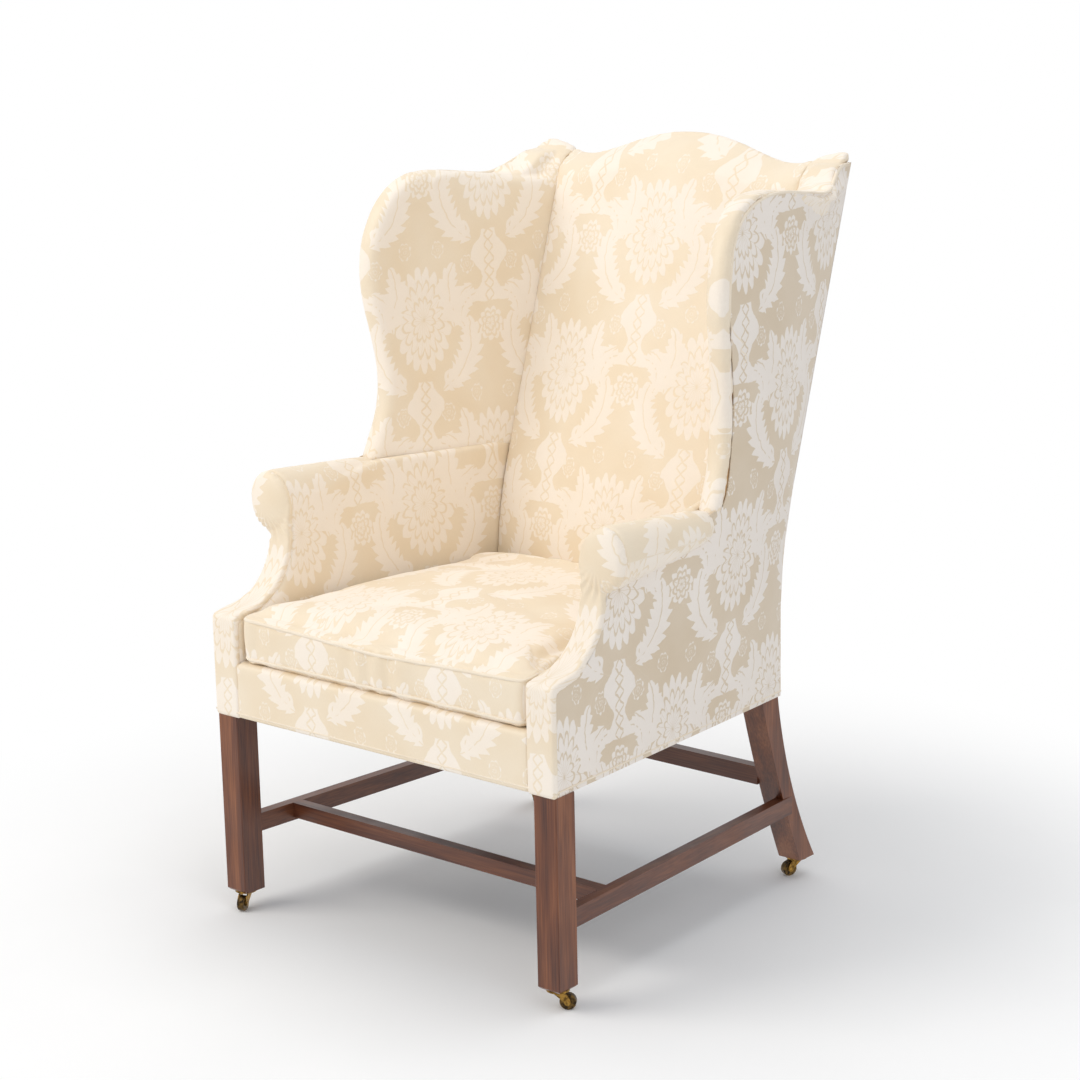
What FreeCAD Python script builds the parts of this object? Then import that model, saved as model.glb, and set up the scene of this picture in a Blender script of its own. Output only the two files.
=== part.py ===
"""Wing armchair: mahogany legs and stretchers on castors, a beech seat, arm, wing and back frame,
stuffed and covered pads over it, and one loose seat cushion. Millimetres, +Z up, front towards -Y."""

import FreeCAD
import Part
import Sketcher
import math
import os

from FreeCAD import Placement, Rotation, Vector

doc = FreeCAD.newDocument("wing_armchair")

# Driving dimensions. Depths run back from the front face of the seat, heights up from the floor,
# and half widths out from the middle of the chair.
DIMENSIONS = [
    ("front_half_width", 338),
    ("rear_half_width", 298),
    ("seat_depth", 584),
    ("overall_depth", 772),
    ("base_bottom", 318),
    ("rail_height", 57),
    ("rail_thickness", 28),
    ("cloth_thickness", 2.5),
    ("leg_width", 41),
    ("leg_setback", 2.5),
    ("leg_chamfer", 1.5),
    ("leg_inner_chamfer", 6),
    ("leg_foot_bevel", 4),
    ("leg_bottom", 31),
    ("leg_shoulder", 6.5),
    ("rear_leg_half_width", 294.5),
    ("rear_leg_sweep", 96),
    ("rear_leg_rear_radius", 800),
    ("rear_leg_front_radius", 2200),
    ("rear_leg_foot_depth", 38),
    ("side_stretcher_bottom", 116),
    ("side_stretcher_height", 29),
    ("side_stretcher_thickness", 17.5),
    ("side_stretcher_reach", 620),
    ("stretcher_inset", 6),
    ("medial_stretcher_depth", 123),
    ("medial_stretcher_thickness", 20),
    ("medial_stretcher_height", 24),
    ("rear_stretcher_bottom", 165),
    ("rear_stretcher_height", 29),
    ("rear_stretcher_thickness", 18),
    ("corner_block_leg", 52),
    ("corner_block_height", 30),
    ("cushion_seat_height", 404),
    ("webbing_width", 50),
    ("webbing_thickness", 1.2),
    ("webbing_pitch", 78),
    ("front_border_half_width", 290),
    ("front_border_thickness", 11),
    ("front_border_return", 40),
    ("back_bend_height", 538),
    ("back_bend_reach", 100.7),
    ("stile_width", 32),
    ("back_frame_thickness", 28),
    ("back_rail_height", 45),
    ("back_half_width", 240),
    ("back_edge_thickness", 44),
    ("back_crown", 25),
    ("back_webbing_count", 4),
    ("crest_height", 1147),
    ("crest_dip_height", 1110),
    ("crest_dip_half_width", 190),
    ("crest_flank_height", 1127),
    ("crest_flank_half_width", 120),
    ("crest_end_height", 1118),
    ("crest_rail_height", 60),
    ("crest_padding", 12.5),
    ("ear_height", 1130),
    ("ear_inset", 3),
    ("arm_height", 657.7),
    ("arm_seat_half_width", 290),
    ("arm_pad_thickness", 14),
    ("arm_pad_lean", 4),
    ("arm_ridge_height", 476),
    ("arm_ridge_depth", 50),
    ("arm_front_depth", 120),
    ("arm_facing_thickness", 8),
    ("arm_neck_height", 580),
    ("arm_neck_half_width", 330),
    ("arm_roll_half_width", 331),
    ("arm_roll_height", 629),
    ("arm_roll_radius_across", 35),
    ("arm_roll_radius_up", 45),
    ("arm_roll_rise", 8),
    ("arm_roll_end_radius_across", 17.5),
    ("arm_roll_end_radius_up", 21),
    ("arm_rail_bottom", 600),
    ("arm_rail_height", 40),
    ("arm_rail_width", 24),
    ("arm_stump_thickness", 18),
    ("wing_nose_width", 34),
    ("wing_nose_length", 14),
    ("wing_pad_thickness", 15),
    ("wing_board_thickness", 12),
    ("wing_board_width", 44),
    ("wing_board_inset", 16.5),
    ("wing_rail_width", 38),
    ("wing_rail_drop", 30),
    ("wing_side_bulge", 16),
    ("cushion_thickness", 74),
    ("cushion_crown", 28),
    ("cushion_front_sag", 11),
    ("cushion_side_bulge", 3),
    ("cushion_side_draw", 4),
    ("cushion_side_gap", 4),
    ("cushion_front_inset", 0.5),
    ("cushion_back_gap", 2.5),
    ("castor_plate_radius", 17),
    ("castor_plate_thickness", 3),
    ("castor_stem_radius", 4),
    ("castor_stem_length", 26),
    ("castor_pintle_radius", 2.5),
    ("castor_pintle_head_radius", 3.6),
    ("castor_pintle_head_height", 1.2),
    ("castor_horn_radius", 9),
    ("castor_horn_thickness", 3),
    ("castor_cheek_thickness", 2),
    ("castor_trail", 14),
    ("castor_wheel_radius", 12),
    ("castor_wheel_width", 11),
    ("castor_axle_radius", 2),
    ("castor_rivet_radius", 3.2),
    ("castor_rivet_height", 0.9),
    ("running_clearance", 0.3),
    ("pin_clearance", 0.05),
    ("soft_clearance", 0.3),
]

# The welted edge of a wing, from the arm up and back to the ear: half width, depth, height,
# and the height at which the section through that point meets the back of the chair.
WING_EDGE = [
    ("meet", 353, 345, 658, 658),
    ("lower", 348, 375, 724, 716),
    ("waist", 347, 383, 780, 768),
    ("rise", 354, 373, 865, 846),
    ("belly", 358.5, 362, 948, 920),
    ("upper", 356, 371, 1009, 972),
    ("shoulder", 349, 404, 1067, 1018),
    ("top", 345.5, 508, 1098, 1058),
    ("dip", 331, 106, 1093, 1090),
    ("tip", 314, 41.5, 1115, 1116),
]

# The last two stations hang on the back, so their depth is measured forwards from its rearmost line.
BEHIND = ("dip", "tip")

# Castors: corner of the chair, side (+1 or -1 along X), and the way each wheel trails, in degrees
# round from straight ahead.
CASTORS = [
    ("front_left", -1, "front", 22),
    ("front_right", 1, "front", 122),
    ("rear_left", -1, "rear", 205),
    ("rear_right", 1, "rear", 335),
]

sheet = doc.addObject("Spreadsheet::Sheet", "dims")


def fill_sheet():
    rows = list(DIMENSIONS)
    for name, half, depth, height, rear in WING_EDGE:
        rows.append(("wing_" + name + "_half_width", half))
        rows.append(("wing_" + name + ("_setback" if name in BEHIND else "_depth"), depth))
        rows.append(("wing_" + name + "_height", height))
        rows.append(("wing_" + name + "_rear_height", rear))
    for row, (name, value) in enumerate(rows, start=1):
        sheet.set("A%d" % row, name)
        sheet.set("B%d" % row, str(value))
        sheet.setAlias("B%d" % row, name)
    doc.recompute()


fill_sheet()


def size(name):
    return float(sheet.get(name))


def amount(text):
    """Value of a sum of named sizes, such as "seat_depth - leg_width/2", or of a (value, expression)."""
    if not isinstance(text, str):
        return text[0]
    total = 0.0
    sign = 1
    for token in text.split():
        if token in "+-":
            sign = 1 if token == "+" else -1
            continue
        name, _, divisor = token.partition("/")
        value = size(name) if name[0].isalpha() else float(name)
        total += sign * value / (float(divisor) if divisor else 1)
    return total


def formula(text):
    """The same sum as an expression on the sheet."""
    if not isinstance(text, str):
        return text[1]
    return " ".join("dims." + token if token[0].isalpha() else token for token in text.split())


CENTRE_DEPTH = "overall_depth/2"
HOME = Vector(0, -amount(CENTRE_DEPTH), 0)
PIECES = []


def keep(piece, label):
    piece.Label = label
    PIECES.append(piece)
    return piece


def solid(label, shape):
    """A sub-part whose shape is made from curves and lofts, moved to the chair's own origin."""
    piece = doc.addObject("Part::Feature", label)
    piece.Shape = shape
    piece.Placement = Placement(HOME, Rotation()).multiply(shape.Placement)
    return keep(piece, label)


def mirrored(right, label):
    piece = doc.addObject("Part::Mirroring", label)
    piece.Source = right
    piece.Normal = Vector(1, 0, 0)
    return keep(piece, label)


def pair(stem, shape):
    """A right-hand sub-part and its mirror image on the left."""
    right = solid(stem + "_right", shape)
    mirrored(right, stem + "_left")


def plane_of(body, role):
    for feature in body.Origin.OriginFeatures:
        if feature.Role == role:
            return feature
    raise ValueError(role)


def outline_sketch(body, role, corners, name):
    """Closed outline on one of the body's own planes. A corner is (u, v), each a sum of sizes;
    a third item is the sum that gives the radius of an arc from this corner to the next, and
    a fourth, +1 or -1, the side that the arc bulges to."""
    sketch = body.newObject("Sketcher::SketchObject", name)
    sketch.AttachmentSupport = [(plane_of(body, role), "")]
    sketch.MapMode = "FlatFace"
    points = [Vector(amount(corner[0]), amount(corner[1]), 0) for corner in corners]
    count = len(points)
    for index, corner in enumerate(corners):
        start = points[index]
        end = points[(index + 1) % count]
        if len(corner) == 2:
            sketch.addGeometry(Part.LineSegment(start, end), False)
            continue
        chord = end - start
        radius = amount(corner[2])
        rise = radius - math.sqrt(radius ** 2 - (chord.Length / 2) ** 2)
        across = Vector(-chord.y, chord.x, 0).normalize() * rise * corner[3]
        middle = (start + end) * 0.5 + across
        sketch.addGeometry(Part.Arc(start, middle, end), False)
    for index in range(count):
        following = (index + 1) % count
        meeting = points[following]
        this_end = end_at(sketch, index, meeting)
        next_end = end_at(sketch, following, meeting)
        sketch.addConstraint(Sketcher.Constraint("Coincident", index, this_end, following, next_end))
    for index, corner in enumerate(corners):
        start = end_at(sketch, index, points[index])
        across = Sketcher.Constraint("DistanceX", -1, 1, index, start, points[index].x)
        sketch.setExpression("Constraints[%d]" % sketch.addConstraint(across), formula(corner[0]))
        upward = Sketcher.Constraint("DistanceY", -1, 1, index, start, points[index].y)
        sketch.setExpression("Constraints[%d]" % sketch.addConstraint(upward), formula(corner[1]))
        if len(corner) > 2:
            round_off = Sketcher.Constraint("Radius", index, amount(corner[2]))
            sketch.setExpression("Constraints[%d]" % sketch.addConstraint(round_off), formula(corner[2]))
    return sketch


def end_at(sketch, index, point):
    """Which end of an edge in the sketch lies at the point: 1 for its start, 2 for its end."""
    near_start = sketch.getPoint(index, 1).distanceToPoint(point)
    near_end = sketch.getPoint(index, 2).distanceToPoint(point)
    return 1 if near_start < near_end else 2


def padded_outline(label, role, corners, length, base):
    """A body: an outline on the body's plane, padded by a length. base is its place (x, y, z)."""
    body = doc.addObject("PartDesign::Body", label)
    sketch = outline_sketch(body, role, corners, label + "_outline")
    pad = body.newObject("PartDesign::Pad", label + "_pad")
    pad.Profile = sketch
    pad.setExpression("Length", formula(length))
    for axis, text in zip("xyz", base):
        body.setExpression("Placement.Base." + axis, formula(text))
    return body


def board(label, corners, bottom, height):
    """A flat board: a plan outline (x, depth) padded upwards."""
    return padded_outline(label, "XY_Plane", corners, height, ("0", "0 - " + CENTRE_DEPTH, bottom))


RAIL_TOP = "base_bottom + cloth_thickness + rail_height"
RAIL_BOTTOM = "base_bottom + cloth_thickness"
FRONT_LEG_INNER = "front_half_width - leg_width"
FRONT_LEG_BACK = "leg_setback + leg_width"
REAR_LEG_INNER = "rear_leg_half_width - leg_width"
REAR_LEG_REAR = "seat_depth - cloth_thickness"
REAR_LEG_FRONT = "seat_depth - cloth_thickness - leg_width"
WEBBING_TOP = RAIL_TOP + " + webbing_thickness + webbing_thickness"


def side_face(depth):
    """Half width of the covered seat at a depth: the sides draw in towards the back."""
    share = 1 - depth / size("seat_depth")
    return size("rear_half_width") + (size("front_half_width") - size("rear_half_width")) * share


def inside_side(depth_text, inset_text):
    """Half width a set distance inside the side face, with its expression."""
    value = side_face(amount(depth_text)) - amount(inset_text)
    spread = "(dims.front_half_width - dims.rear_half_width)"
    share = "(1 - (" + formula(depth_text) + ") / dims.seat_depth)"
    text = "dims.rear_half_width + " + spread + " * " + share + " - (" + formula(inset_text) + ")"
    return value, text


def place(box, corner):
    for axis, text in zip("xyz", corner):
        box.setExpression("Placement.Base." + axis, formula(text))


def block(label, corner, lengths):
    """A squared bar: its low corner (x, depth, height) and its lengths along X, Y and Z."""
    box = doc.addObject("Part::Box", label)
    for name, text in zip(("Length", "Width", "Height"), lengths):
        box.setExpression(name, formula(text))
    place(box, (corner[0], corner[1] + " - " + CENTRE_DEPTH, corner[2]))
    return box


def cut(label, base, tool):
    result = doc.addObject("Part::Cut", label)
    result.Base = base
    result.Tool = tool
    return result


def chamfer_uprights(body, before, name, width, inner):
    """Chamfer on the upright corners of a leg: the inner rear one alone, or all the others."""
    corner_x = amount(FRONT_LEG_INNER)
    corner_y = amount(FRONT_LEG_BACK)
    reach = 2 * amount("leg_foot_bevel")
    names = []
    for number, edge in enumerate(before.Shape.Edges, start=1):
        low, high = edge.Vertexes[0], edge.Vertexes[1]
        if abs(low.Z - high.Z) < reach:
            continue
        at_inner = abs(low.X - corner_x) < reach and abs(low.Y - corner_y) < reach
        if at_inner == inner:
            names.append("Edge%d" % number)
    eased = body.newObject("PartDesign::Chamfer", name)
    eased.Base = (before, names)
    eased.setExpression("Size", formula(width))
    doc.recompute()
    return eased


def stem_bore(body, across, depth, reach, name):
    """Blind hole up from the foot of a leg for the stem of its castor."""
    sketch = body.newObject("Sketcher::SketchObject", name + "_circle")
    sketch.AttachmentSupport = [(plane_of(body, "XY_Plane"), "")]
    sketch.MapMode = "FlatFace"
    centre = Vector(amount(across), amount(depth), 0)
    sketch.addGeometry(Part.Circle(centre, Vector(0, 0, 1), amount("castor_stem_radius")), False)
    for kind, value, text in (("DistanceX", centre.x, across), ("DistanceY", centre.y, depth)):
        number = sketch.addConstraint(Sketcher.Constraint(kind, -1, 1, 0, 3, value))
        sketch.setExpression("Constraints[%d]" % number, formula(text))
    number = sketch.addConstraint(Sketcher.Constraint("Radius", 0, amount("castor_stem_radius")))
    sketch.setExpression("Constraints[%d]" % number, formula("castor_stem_radius"))
    doc.recompute()
    before = body.Shape.Volume
    bore = body.newObject("PartDesign::Pocket", name)
    bore.Profile = sketch
    bore.Reversed = True
    bore.setExpression("Length", formula(reach))
    doc.recompute()
    if body.Shape.Volume >= before:
        raise RuntimeError(name + " cut nothing")


def front_leg():
    """Square leg, rebated above the seat's lower edge so that the cover lies flush with it."""
    body = doc.addObject("PartDesign::Body", "front_leg_right")
    outer = "front_half_width"
    foot = outline_sketch(body, "XY_Plane", [
        (FRONT_LEG_INNER, "leg_setback"),
        (outer, "leg_setback"),
        (outer, FRONT_LEG_BACK),
        (FRONT_LEG_INNER, FRONT_LEG_BACK),
    ], "leg_section")
    shaft = body.newObject("PartDesign::Pad", "leg_shaft")
    shaft.Profile = foot
    shaft.setExpression("Length", formula("base_bottom - leg_bottom"))
    doc.recompute()
    foot_edges = []
    for number, edge in enumerate(shaft.Shape.Edges, start=1):
        if max(vertex.Z for vertex in edge.Vertexes) < 1:
            foot_edges.append("Edge%d" % number)
    eased = body.newObject("PartDesign::Chamfer", "leg_foot_bevel")
    eased.Base = (shaft, foot_edges)
    eased.setExpression("Size", formula("leg_foot_bevel"))
    doc.recompute()
    arris = chamfer_uprights(body, eased, "leg_arris", "leg_chamfer", False)
    inner = chamfer_uprights(body, arris, "leg_inner_corner", "leg_inner_chamfer", True)
    neck = outline_sketch(body, "XY_Plane", [
        (FRONT_LEG_INNER, "arm_facing_thickness + soft_clearance"),
        ("front_half_width - leg_shoulder", "arm_facing_thickness + soft_clearance"),
        ("front_half_width - leg_shoulder", FRONT_LEG_BACK),
        (FRONT_LEG_INNER, FRONT_LEG_BACK),
    ], "leg_top_section")
    top = body.newObject("PartDesign::Pad", "leg_top")
    top.Profile = neck
    top.setExpression("Length", formula(RAIL_TOP + " - leg_bottom"))
    stem_bore(body, "front_half_width - leg_width/2", "leg_setback + leg_width/2",
              "castor_stem_length", "front_castor_bore")
    place(body, ("0", "0 - " + CENTRE_DEPTH, "leg_bottom"))
    return keep(body, "front_leg_right")


def rear_leg():
    """Rear leg, raked backwards in a sweep below the seat, carrying the back post above it."""
    foot_rear = "seat_depth + rear_leg_sweep"
    body = padded_outline("rear_leg_right", "YZ_Plane", [
        (foot_rear + " - rear_leg_foot_depth", "leg_bottom"),
        (foot_rear, "leg_bottom", "rear_leg_rear_radius", 1),
        (REAR_LEG_REAR, "base_bottom"),
        (REAR_LEG_REAR, RAIL_TOP),
        (REAR_LEG_FRONT, RAIL_TOP),
        (REAR_LEG_FRONT, "base_bottom", "rear_leg_front_radius", -1),
    ], "leg_width", (REAR_LEG_INNER, "0 - " + CENTRE_DEPTH, "0"))
    stem_bore(body, "leg_width/2", foot_rear + " - rear_leg_foot_depth/2",
              "leg_bottom + castor_stem_length", "rear_castor_bore")
    return keep(body, "rear_leg_right")


def side_stretcher(rear):
    outer_front = "front_half_width - stretcher_inset"
    outer_rear = "rear_leg_half_width"
    far = "side_stretcher_reach"
    bar = board("side_stretcher_bar", [
        (outer_front + " - side_stretcher_thickness", FRONT_LEG_BACK),
        (outer_front, FRONT_LEG_BACK),
        (outer_rear, far),
        (outer_rear + " - side_stretcher_thickness", far),
    ], "side_stretcher_bottom", "side_stretcher_height")
    return keep(cut("side_stretcher_right", bar, rear), "side_stretcher_right")


def legs_and_stretchers():
    front = front_leg()
    mirrored(front, "front_leg_left")
    rear = rear_leg()
    mirrored(rear, "rear_leg_left")
    side = side_stretcher(rear)
    mirrored(side, "side_stretcher_left")
    near = "medial_stretcher_depth"
    far = "medial_stretcher_depth + medial_stretcher_thickness"
    near_half = stretcher_inner(near)
    far_half = stretcher_inner(far)
    medial = board("medial_stretcher", [
        (minus(near_half), near),
        (near_half, near),
        (far_half, far),
        (minus(far_half), far),
    ], "side_stretcher_bottom + side_stretcher_height - medial_stretcher_height",
        "medial_stretcher_height")
    keep(medial, "medial_stretcher")
    half_gap = "rear_leg_half_width - leg_width"
    rear_bar = block("rear_stretcher",
                     ("0 - rear_leg_half_width + leg_width", "seat_depth",
                      "rear_stretcher_bottom"),
                     (half_gap + " + " + half_gap, "rear_stretcher_thickness",
                      "rear_stretcher_height"))
    keep(rear_bar, "rear_stretcher")


def minus(pair_of_value):
    return -pair_of_value[0], "-(" + pair_of_value[1] + ")"


def stretcher_inner(depth_text):
    """Half width to the inner face of the side stretchers at a depth."""
    near = amount(FRONT_LEG_BACK)
    far = amount("side_stretcher_reach")
    start = amount("front_half_width - stretcher_inset - side_stretcher_thickness")
    end = amount("rear_leg_half_width - side_stretcher_thickness")
    share = (amount(depth_text) - near) / (far - near)
    text = "(%s) + ((%s) - (%s)) * ((%s) - (%s)) / ((%s) - (%s))" % (
        formula("front_half_width - stretcher_inset - side_stretcher_thickness"),
        formula("rear_leg_half_width - side_stretcher_thickness"),
        formula("front_half_width - stretcher_inset - side_stretcher_thickness"),
        formula(depth_text), formula(FRONT_LEG_BACK),
        formula("side_stretcher_reach"), formula(FRONT_LEG_BACK))
    return start + (end - start) * share, text


def seat_rails():
    """Beech rails between the legs, with a glued block in each corner."""
    front = block("front_rail", ("0 - front_half_width + leg_width", "front_border_thickness",
                                 RAIL_BOTTOM),
                  ("front_half_width + front_half_width - leg_width - leg_width",
                   "rail_thickness", "rail_height"))
    keep(front, "front_rail")
    rear = block("rear_rail", ("0 - rear_leg_half_width + leg_width",
                               "seat_depth - cloth_thickness - rail_thickness", RAIL_BOTTOM),
                 ("rear_leg_half_width + rear_leg_half_width - leg_width - leg_width",
                  "rail_thickness", "rail_height"))
    keep(rear, "rear_rail")
    outer = "cloth_thickness + soft_clearance"
    inner = outer + " + rail_thickness"
    side = board("side_rail_right", [
        (inside_side(FRONT_LEG_BACK, inner), FRONT_LEG_BACK),
        (inside_side(FRONT_LEG_BACK, outer), FRONT_LEG_BACK),
        (inside_side(REAR_LEG_FRONT, outer), REAR_LEG_FRONT),
        (inside_side(REAR_LEG_FRONT, inner), REAR_LEG_FRONT),
    ], RAIL_BOTTOM, "rail_height")
    keep(side, "side_rail_right")
    mirrored(side, "side_rail_left")


def polygon(corners):
    """Flat face through corners."""
    return Part.Face(Part.makePolygon(corners + corners[:1]))


def corner_blocks():
    """Four glued blocks, each fitted round the leg that stands in its corner."""
    low = amount(RAIL_TOP) - size("corner_block_height")
    leg = size("corner_block_leg")
    inner = size("cloth_thickness") + size("soft_clearance") + size("rail_thickness")
    leg_in = amount(FRONT_LEG_INNER)
    leg_back = amount(FRONT_LEG_BACK)
    rail_back = amount("front_border_thickness + rail_thickness")
    front = [
        Vector(leg_in - leg, rail_back, low),
        Vector(leg_in, rail_back, low),
        Vector(leg_in, leg_back, low),
        Vector(side_face(leg_back) - inner, leg_back, low),
        Vector(side_face(leg_back + leg) - inner, leg_back + leg, low),
    ]
    post_in = amount(REAR_LEG_INNER)
    post_front = amount(REAR_LEG_FRONT)
    rail_front = amount("seat_depth - cloth_thickness - rail_thickness")
    rear = [
        Vector(post_in - leg, rail_front, low),
        Vector(post_in, rail_front, low),
        Vector(post_in, post_front, low),
        Vector(side_face(post_front) - inner, post_front, low),
        Vector(side_face(post_front - leg) - inner, post_front - leg, low),
    ]
    blocks = []
    for corners in (front, rear):
        block_shape = polygon(corners).extrude(Vector(0, 0, size("corner_block_height")))
        blocks.append(block_shape)
        blocks.append(block_shape.mirror(Vector(0, 0, 0), Vector(1, 0, 0)))
    solid("corner_blocks", Part.makeCompound(blocks))


def rake():
    """Slope of the back above its bend, as an angle from upright."""
    run = size("overall_depth") - size("seat_depth")
    rise = size("ear_height") - size("back_bend_height")
    return math.atan2(run, rise)


def bend(offset):
    """Start, middle and end of the arc in the back's rear line, a set distance in front of it."""
    angle = rake()
    radius = bend_radius()
    tangent = radius * math.tan(angle / 2)
    start = Vector(0, size("seat_depth") - offset, size("back_bend_height") - tangent)
    points = []
    for share in (0, 0.5, 1):
        turn = angle * share
        points.append(start + Vector(0, radius * (1 - math.cos(turn)), radius * math.sin(turn)))
    return points


def bend_radius():
    """Radius of the bend, from how far it reaches above and below the bend's own height."""
    return size("back_bend_reach") / math.tan(rake() / 2)


def rear_line(height, offset=0):
    """Depth of the back's rear face at a height, less an offset."""
    start, _, end = bend(offset)
    if height <= start.z:
        return start.y
    if height >= end.z:
        return end.y + (height - end.z) * math.tan(rake())
    radius = bend_radius()
    return start.y + radius - math.sqrt(radius ** 2 - (height - start.z) ** 2)


def on_back(x, offset, height):
    return Vector(x, rear_line(height, offset), height)


def closed(start, *steps):
    """Closed wire from a start point through lines, or arcs given as (middle, end)."""
    edges = []
    here = start
    for step in steps:
        if isinstance(step, tuple):
            edges.append(Part.Arc(here, step[0], step[1]).toShape())
            here = step[1]
        else:
            edges.append(Part.makeLine(here, step))
            here = step
    if here.distanceToPoint(start) > 0.001:
        edges.append(Part.makeLine(here, start))
    return Part.Wire(edges)


def loft(wires, ruled=False):
    return Part.makeLoft(wires, True, ruled)


def slab(wire, x_low, x_high):
    """A side outline (depth, height) given thickness along X."""
    shape = Part.Face(wire).extrude(Vector(x_high - x_low, 0, 0))
    shape.translate(Vector(x_low, 0, 0))
    return shape


def back_band(rear_offset, front_offset, low, high):
    """Side outline between two lines that follow the back, from one height to another."""
    rear = bend(rear_offset)
    front = bend(front_offset)
    if low >= rear[2].z:
        return closed(on_back(0, rear_offset, low), on_back(0, rear_offset, high),
                      on_back(0, front_offset, high), on_back(0, front_offset, low))
    return closed(on_back(0, rear_offset, low), rear[0], (rear[1], rear[2]),
                  on_back(0, rear_offset, high), on_back(0, front_offset, high), front[2],
                  (front[1], front[0]), on_back(0, front_offset, low))


FRAME_REAR = "cloth_thickness"
FRAME_FRONT = "cloth_thickness + back_frame_thickness"


def crest_edges(drop, half, depth):
    """The serpentine top of the back between two half widths, lowered by a drop."""
    flank = size("crest_flank_half_width")
    dip = size("crest_dip_half_width")
    end = size("back_half_width")

    def at(x, height):
        return Vector(x, depth, height - drop)

    left_end = at(-end, size("crest_end_height"))
    left_dip = at(-dip, size("crest_dip_height"))
    left_flank = at(-flank, size("crest_flank_height"))
    top = at(0, size("crest_height"))
    right_flank = at(flank, size("crest_flank_height"))
    right_dip = at(dip, size("crest_dip_height"))
    right_end = at(end, size("crest_end_height"))
    return [
        at(-half, size("ear_height")),
        left_end,
        (left_dip, left_flank),
        (top, right_flank),
        (right_dip, right_end),
        at(half, size("ear_height")),
    ]


def crest_block(drop, half, low):
    """Everything below the serpentine top, as a deep block to cut boards from."""
    far = size("overall_depth") + size("seat_depth")
    steps = crest_edges(drop, half, 0)
    wire = closed(Vector(-half, 0, low), *steps, Vector(half, 0, low))
    return Part.Face(wire).extrude(Vector(0, far, 0))


def back_frame():
    """Posts that carry on the rear legs, the shaped crest rail and the lower stuffing rail."""
    rear = amount(FRAME_REAR)
    front = amount(FRAME_FRONT)
    outer = size("rear_half_width") - size("cloth_thickness")
    foot = amount(RAIL_TOP)
    lowest = min(size("crest_" + name + "_height") for name in ("flank", "dip", "end"))
    rail_low = min(lowest, size("crest_height")) - size("crest_padding") - size("crest_rail_height")
    post = slab(back_band(rear, front, foot, rail_low), outer - size("stile_width"), outer)
    pair("back_post", post)
    crest = slab(back_band(rear, front, rail_low, size("crest_height") + size("leg_width")),
                 -outer, outer)
    crest = crest.common(crest_block(size("crest_padding"), outer, rail_low))
    solid("crest_rail", crest)
    low = amount("cushion_seat_height")
    inner = outer - size("stile_width")
    rail = slab(back_band(rear, front, foot, rail_low), -inner, inner)
    keep_part = Part.makeBox(2 * inner, 2 * size("seat_depth"), size("back_rail_height"),
                             Vector(-inner, 0, low))
    solid("lower_back_rail", rail.common(keep_part))
    return crest, rail_low


def back_webbing(rail_low):
    """Upright webs from the lower rail to the crest rail, lying on the front of the frame."""
    front = amount(FRAME_FRONT)
    thickness = size("webbing_thickness")
    half = size("webbing_width") / 2
    count = int(size("back_webbing_count"))
    step = 2 * (size("back_half_width") - size("webbing_width")) / (count - 1)
    start = -(count - 1) * step / 2
    low = amount("cushion_seat_height")
    strips = []
    for index in range(count):
        x = start + index * step
        wire = back_band(front, front + thickness, low, rail_low + size("webbing_width"))
        strips.append(slab(wire, x - half, x + half))
    solid("back_webbing", Part.makeCompound(strips))


def inside_back():
    """The stuffed inner back: one pad, crowned across its width and rolled over the crest."""
    low = amount(WEBBING_TOP) + size("soft_clearance")
    backing = amount(FRAME_FRONT) + size("webbing_thickness") + size("soft_clearance")
    padding = size("crest_padding")
    stations = [
        (0, "crest_height", 1.0),
        ("crest_flank_half_width", "crest_flank_height", 0.8),
        ("crest_dip_half_width", "crest_dip_height", 0.42),
        ("back_half_width", "crest_end_height", 0.0),
    ]
    wires = []
    for name, top_name, crown in stations:
        half = size(name) if name else 0.0
        if name == "back_half_width":
            half -= size("soft_clearance")
        top = size(top_name)
        thick = size("back_edge_thickness") + size("back_crown") * crown
        wires.append((half, back_section(half, top, thick, low, backing, padding)))
        if half:
            wires.insert(0, (-half, back_section(-half, top, thick, low, backing, padding)))
    return loft([wire for _, wire in sorted(wires, key=lambda item: item[0])])


def rolled_top(across, top, thick, backing, padding):
    """The steps of a section that roll a pad over the crest: across gives x at an offset from
    the back's rear face."""
    over = size("soft_clearance")

    def at(offset, height):
        return on_back(across(offset), offset, height)

    return [
        at(thick, top - 0.55 * thick),
        (at(0.62 * thick, top - 0.12 * thick), at(0.38 * thick, top)),
        (at(over + 2, top - 0.35 * padding), at(over, top - padding + over)),
        at(backing, top - padding + over),
    ]


def back_section(x, top, thick, low, backing, padding):
    """Side section of the inner back: up its front face, over the crest and down the webbing."""
    front = [Vector(x, point.y, point.z) for point in bend(thick)]
    rear = [Vector(x, point.y, point.z) for point in bend(backing)]
    over_crest = rolled_top(lambda offset: x, top, thick, backing, padding)
    return closed(on_back(x, backing, low), on_back(x, thick, low), front[0], (front[1], front[2]),
                  *over_crest, rear[2], (rear[1], rear[0]))


def wing_ear():
    """The upper corner of a wing, rolled over the end of the crest rail and up to the ear."""
    thick = size("back_edge_thickness")
    backing = amount(FRAME_FRONT) + size("soft_clearance")
    padding = size("crest_padding")
    low = size("wing_dip_height") - padding
    inner = size("back_half_width")
    rear_half = size("rear_half_width") - size("cloth_thickness") - size("ear_inset")
    flare = (size("wing_tip_half_width") - size("rear_half_width")) / thick
    middle = (inner + rear_half) / 2
    wires = []
    for start, slope, top in ((inner, 0, size("crest_end_height")),
                              (middle, flare / 2, size("crest_end_height") + 0.7 * padding),
                              (rear_half, flare, size("ear_height"))):
        def across(offset):
            return start + slope * offset

        wires.append(closed(on_back(across(backing), backing, low), on_back(across(thick), thick, low),
                            *rolled_top(across, top, thick, backing, padding)))
    return loft(wires)


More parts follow.
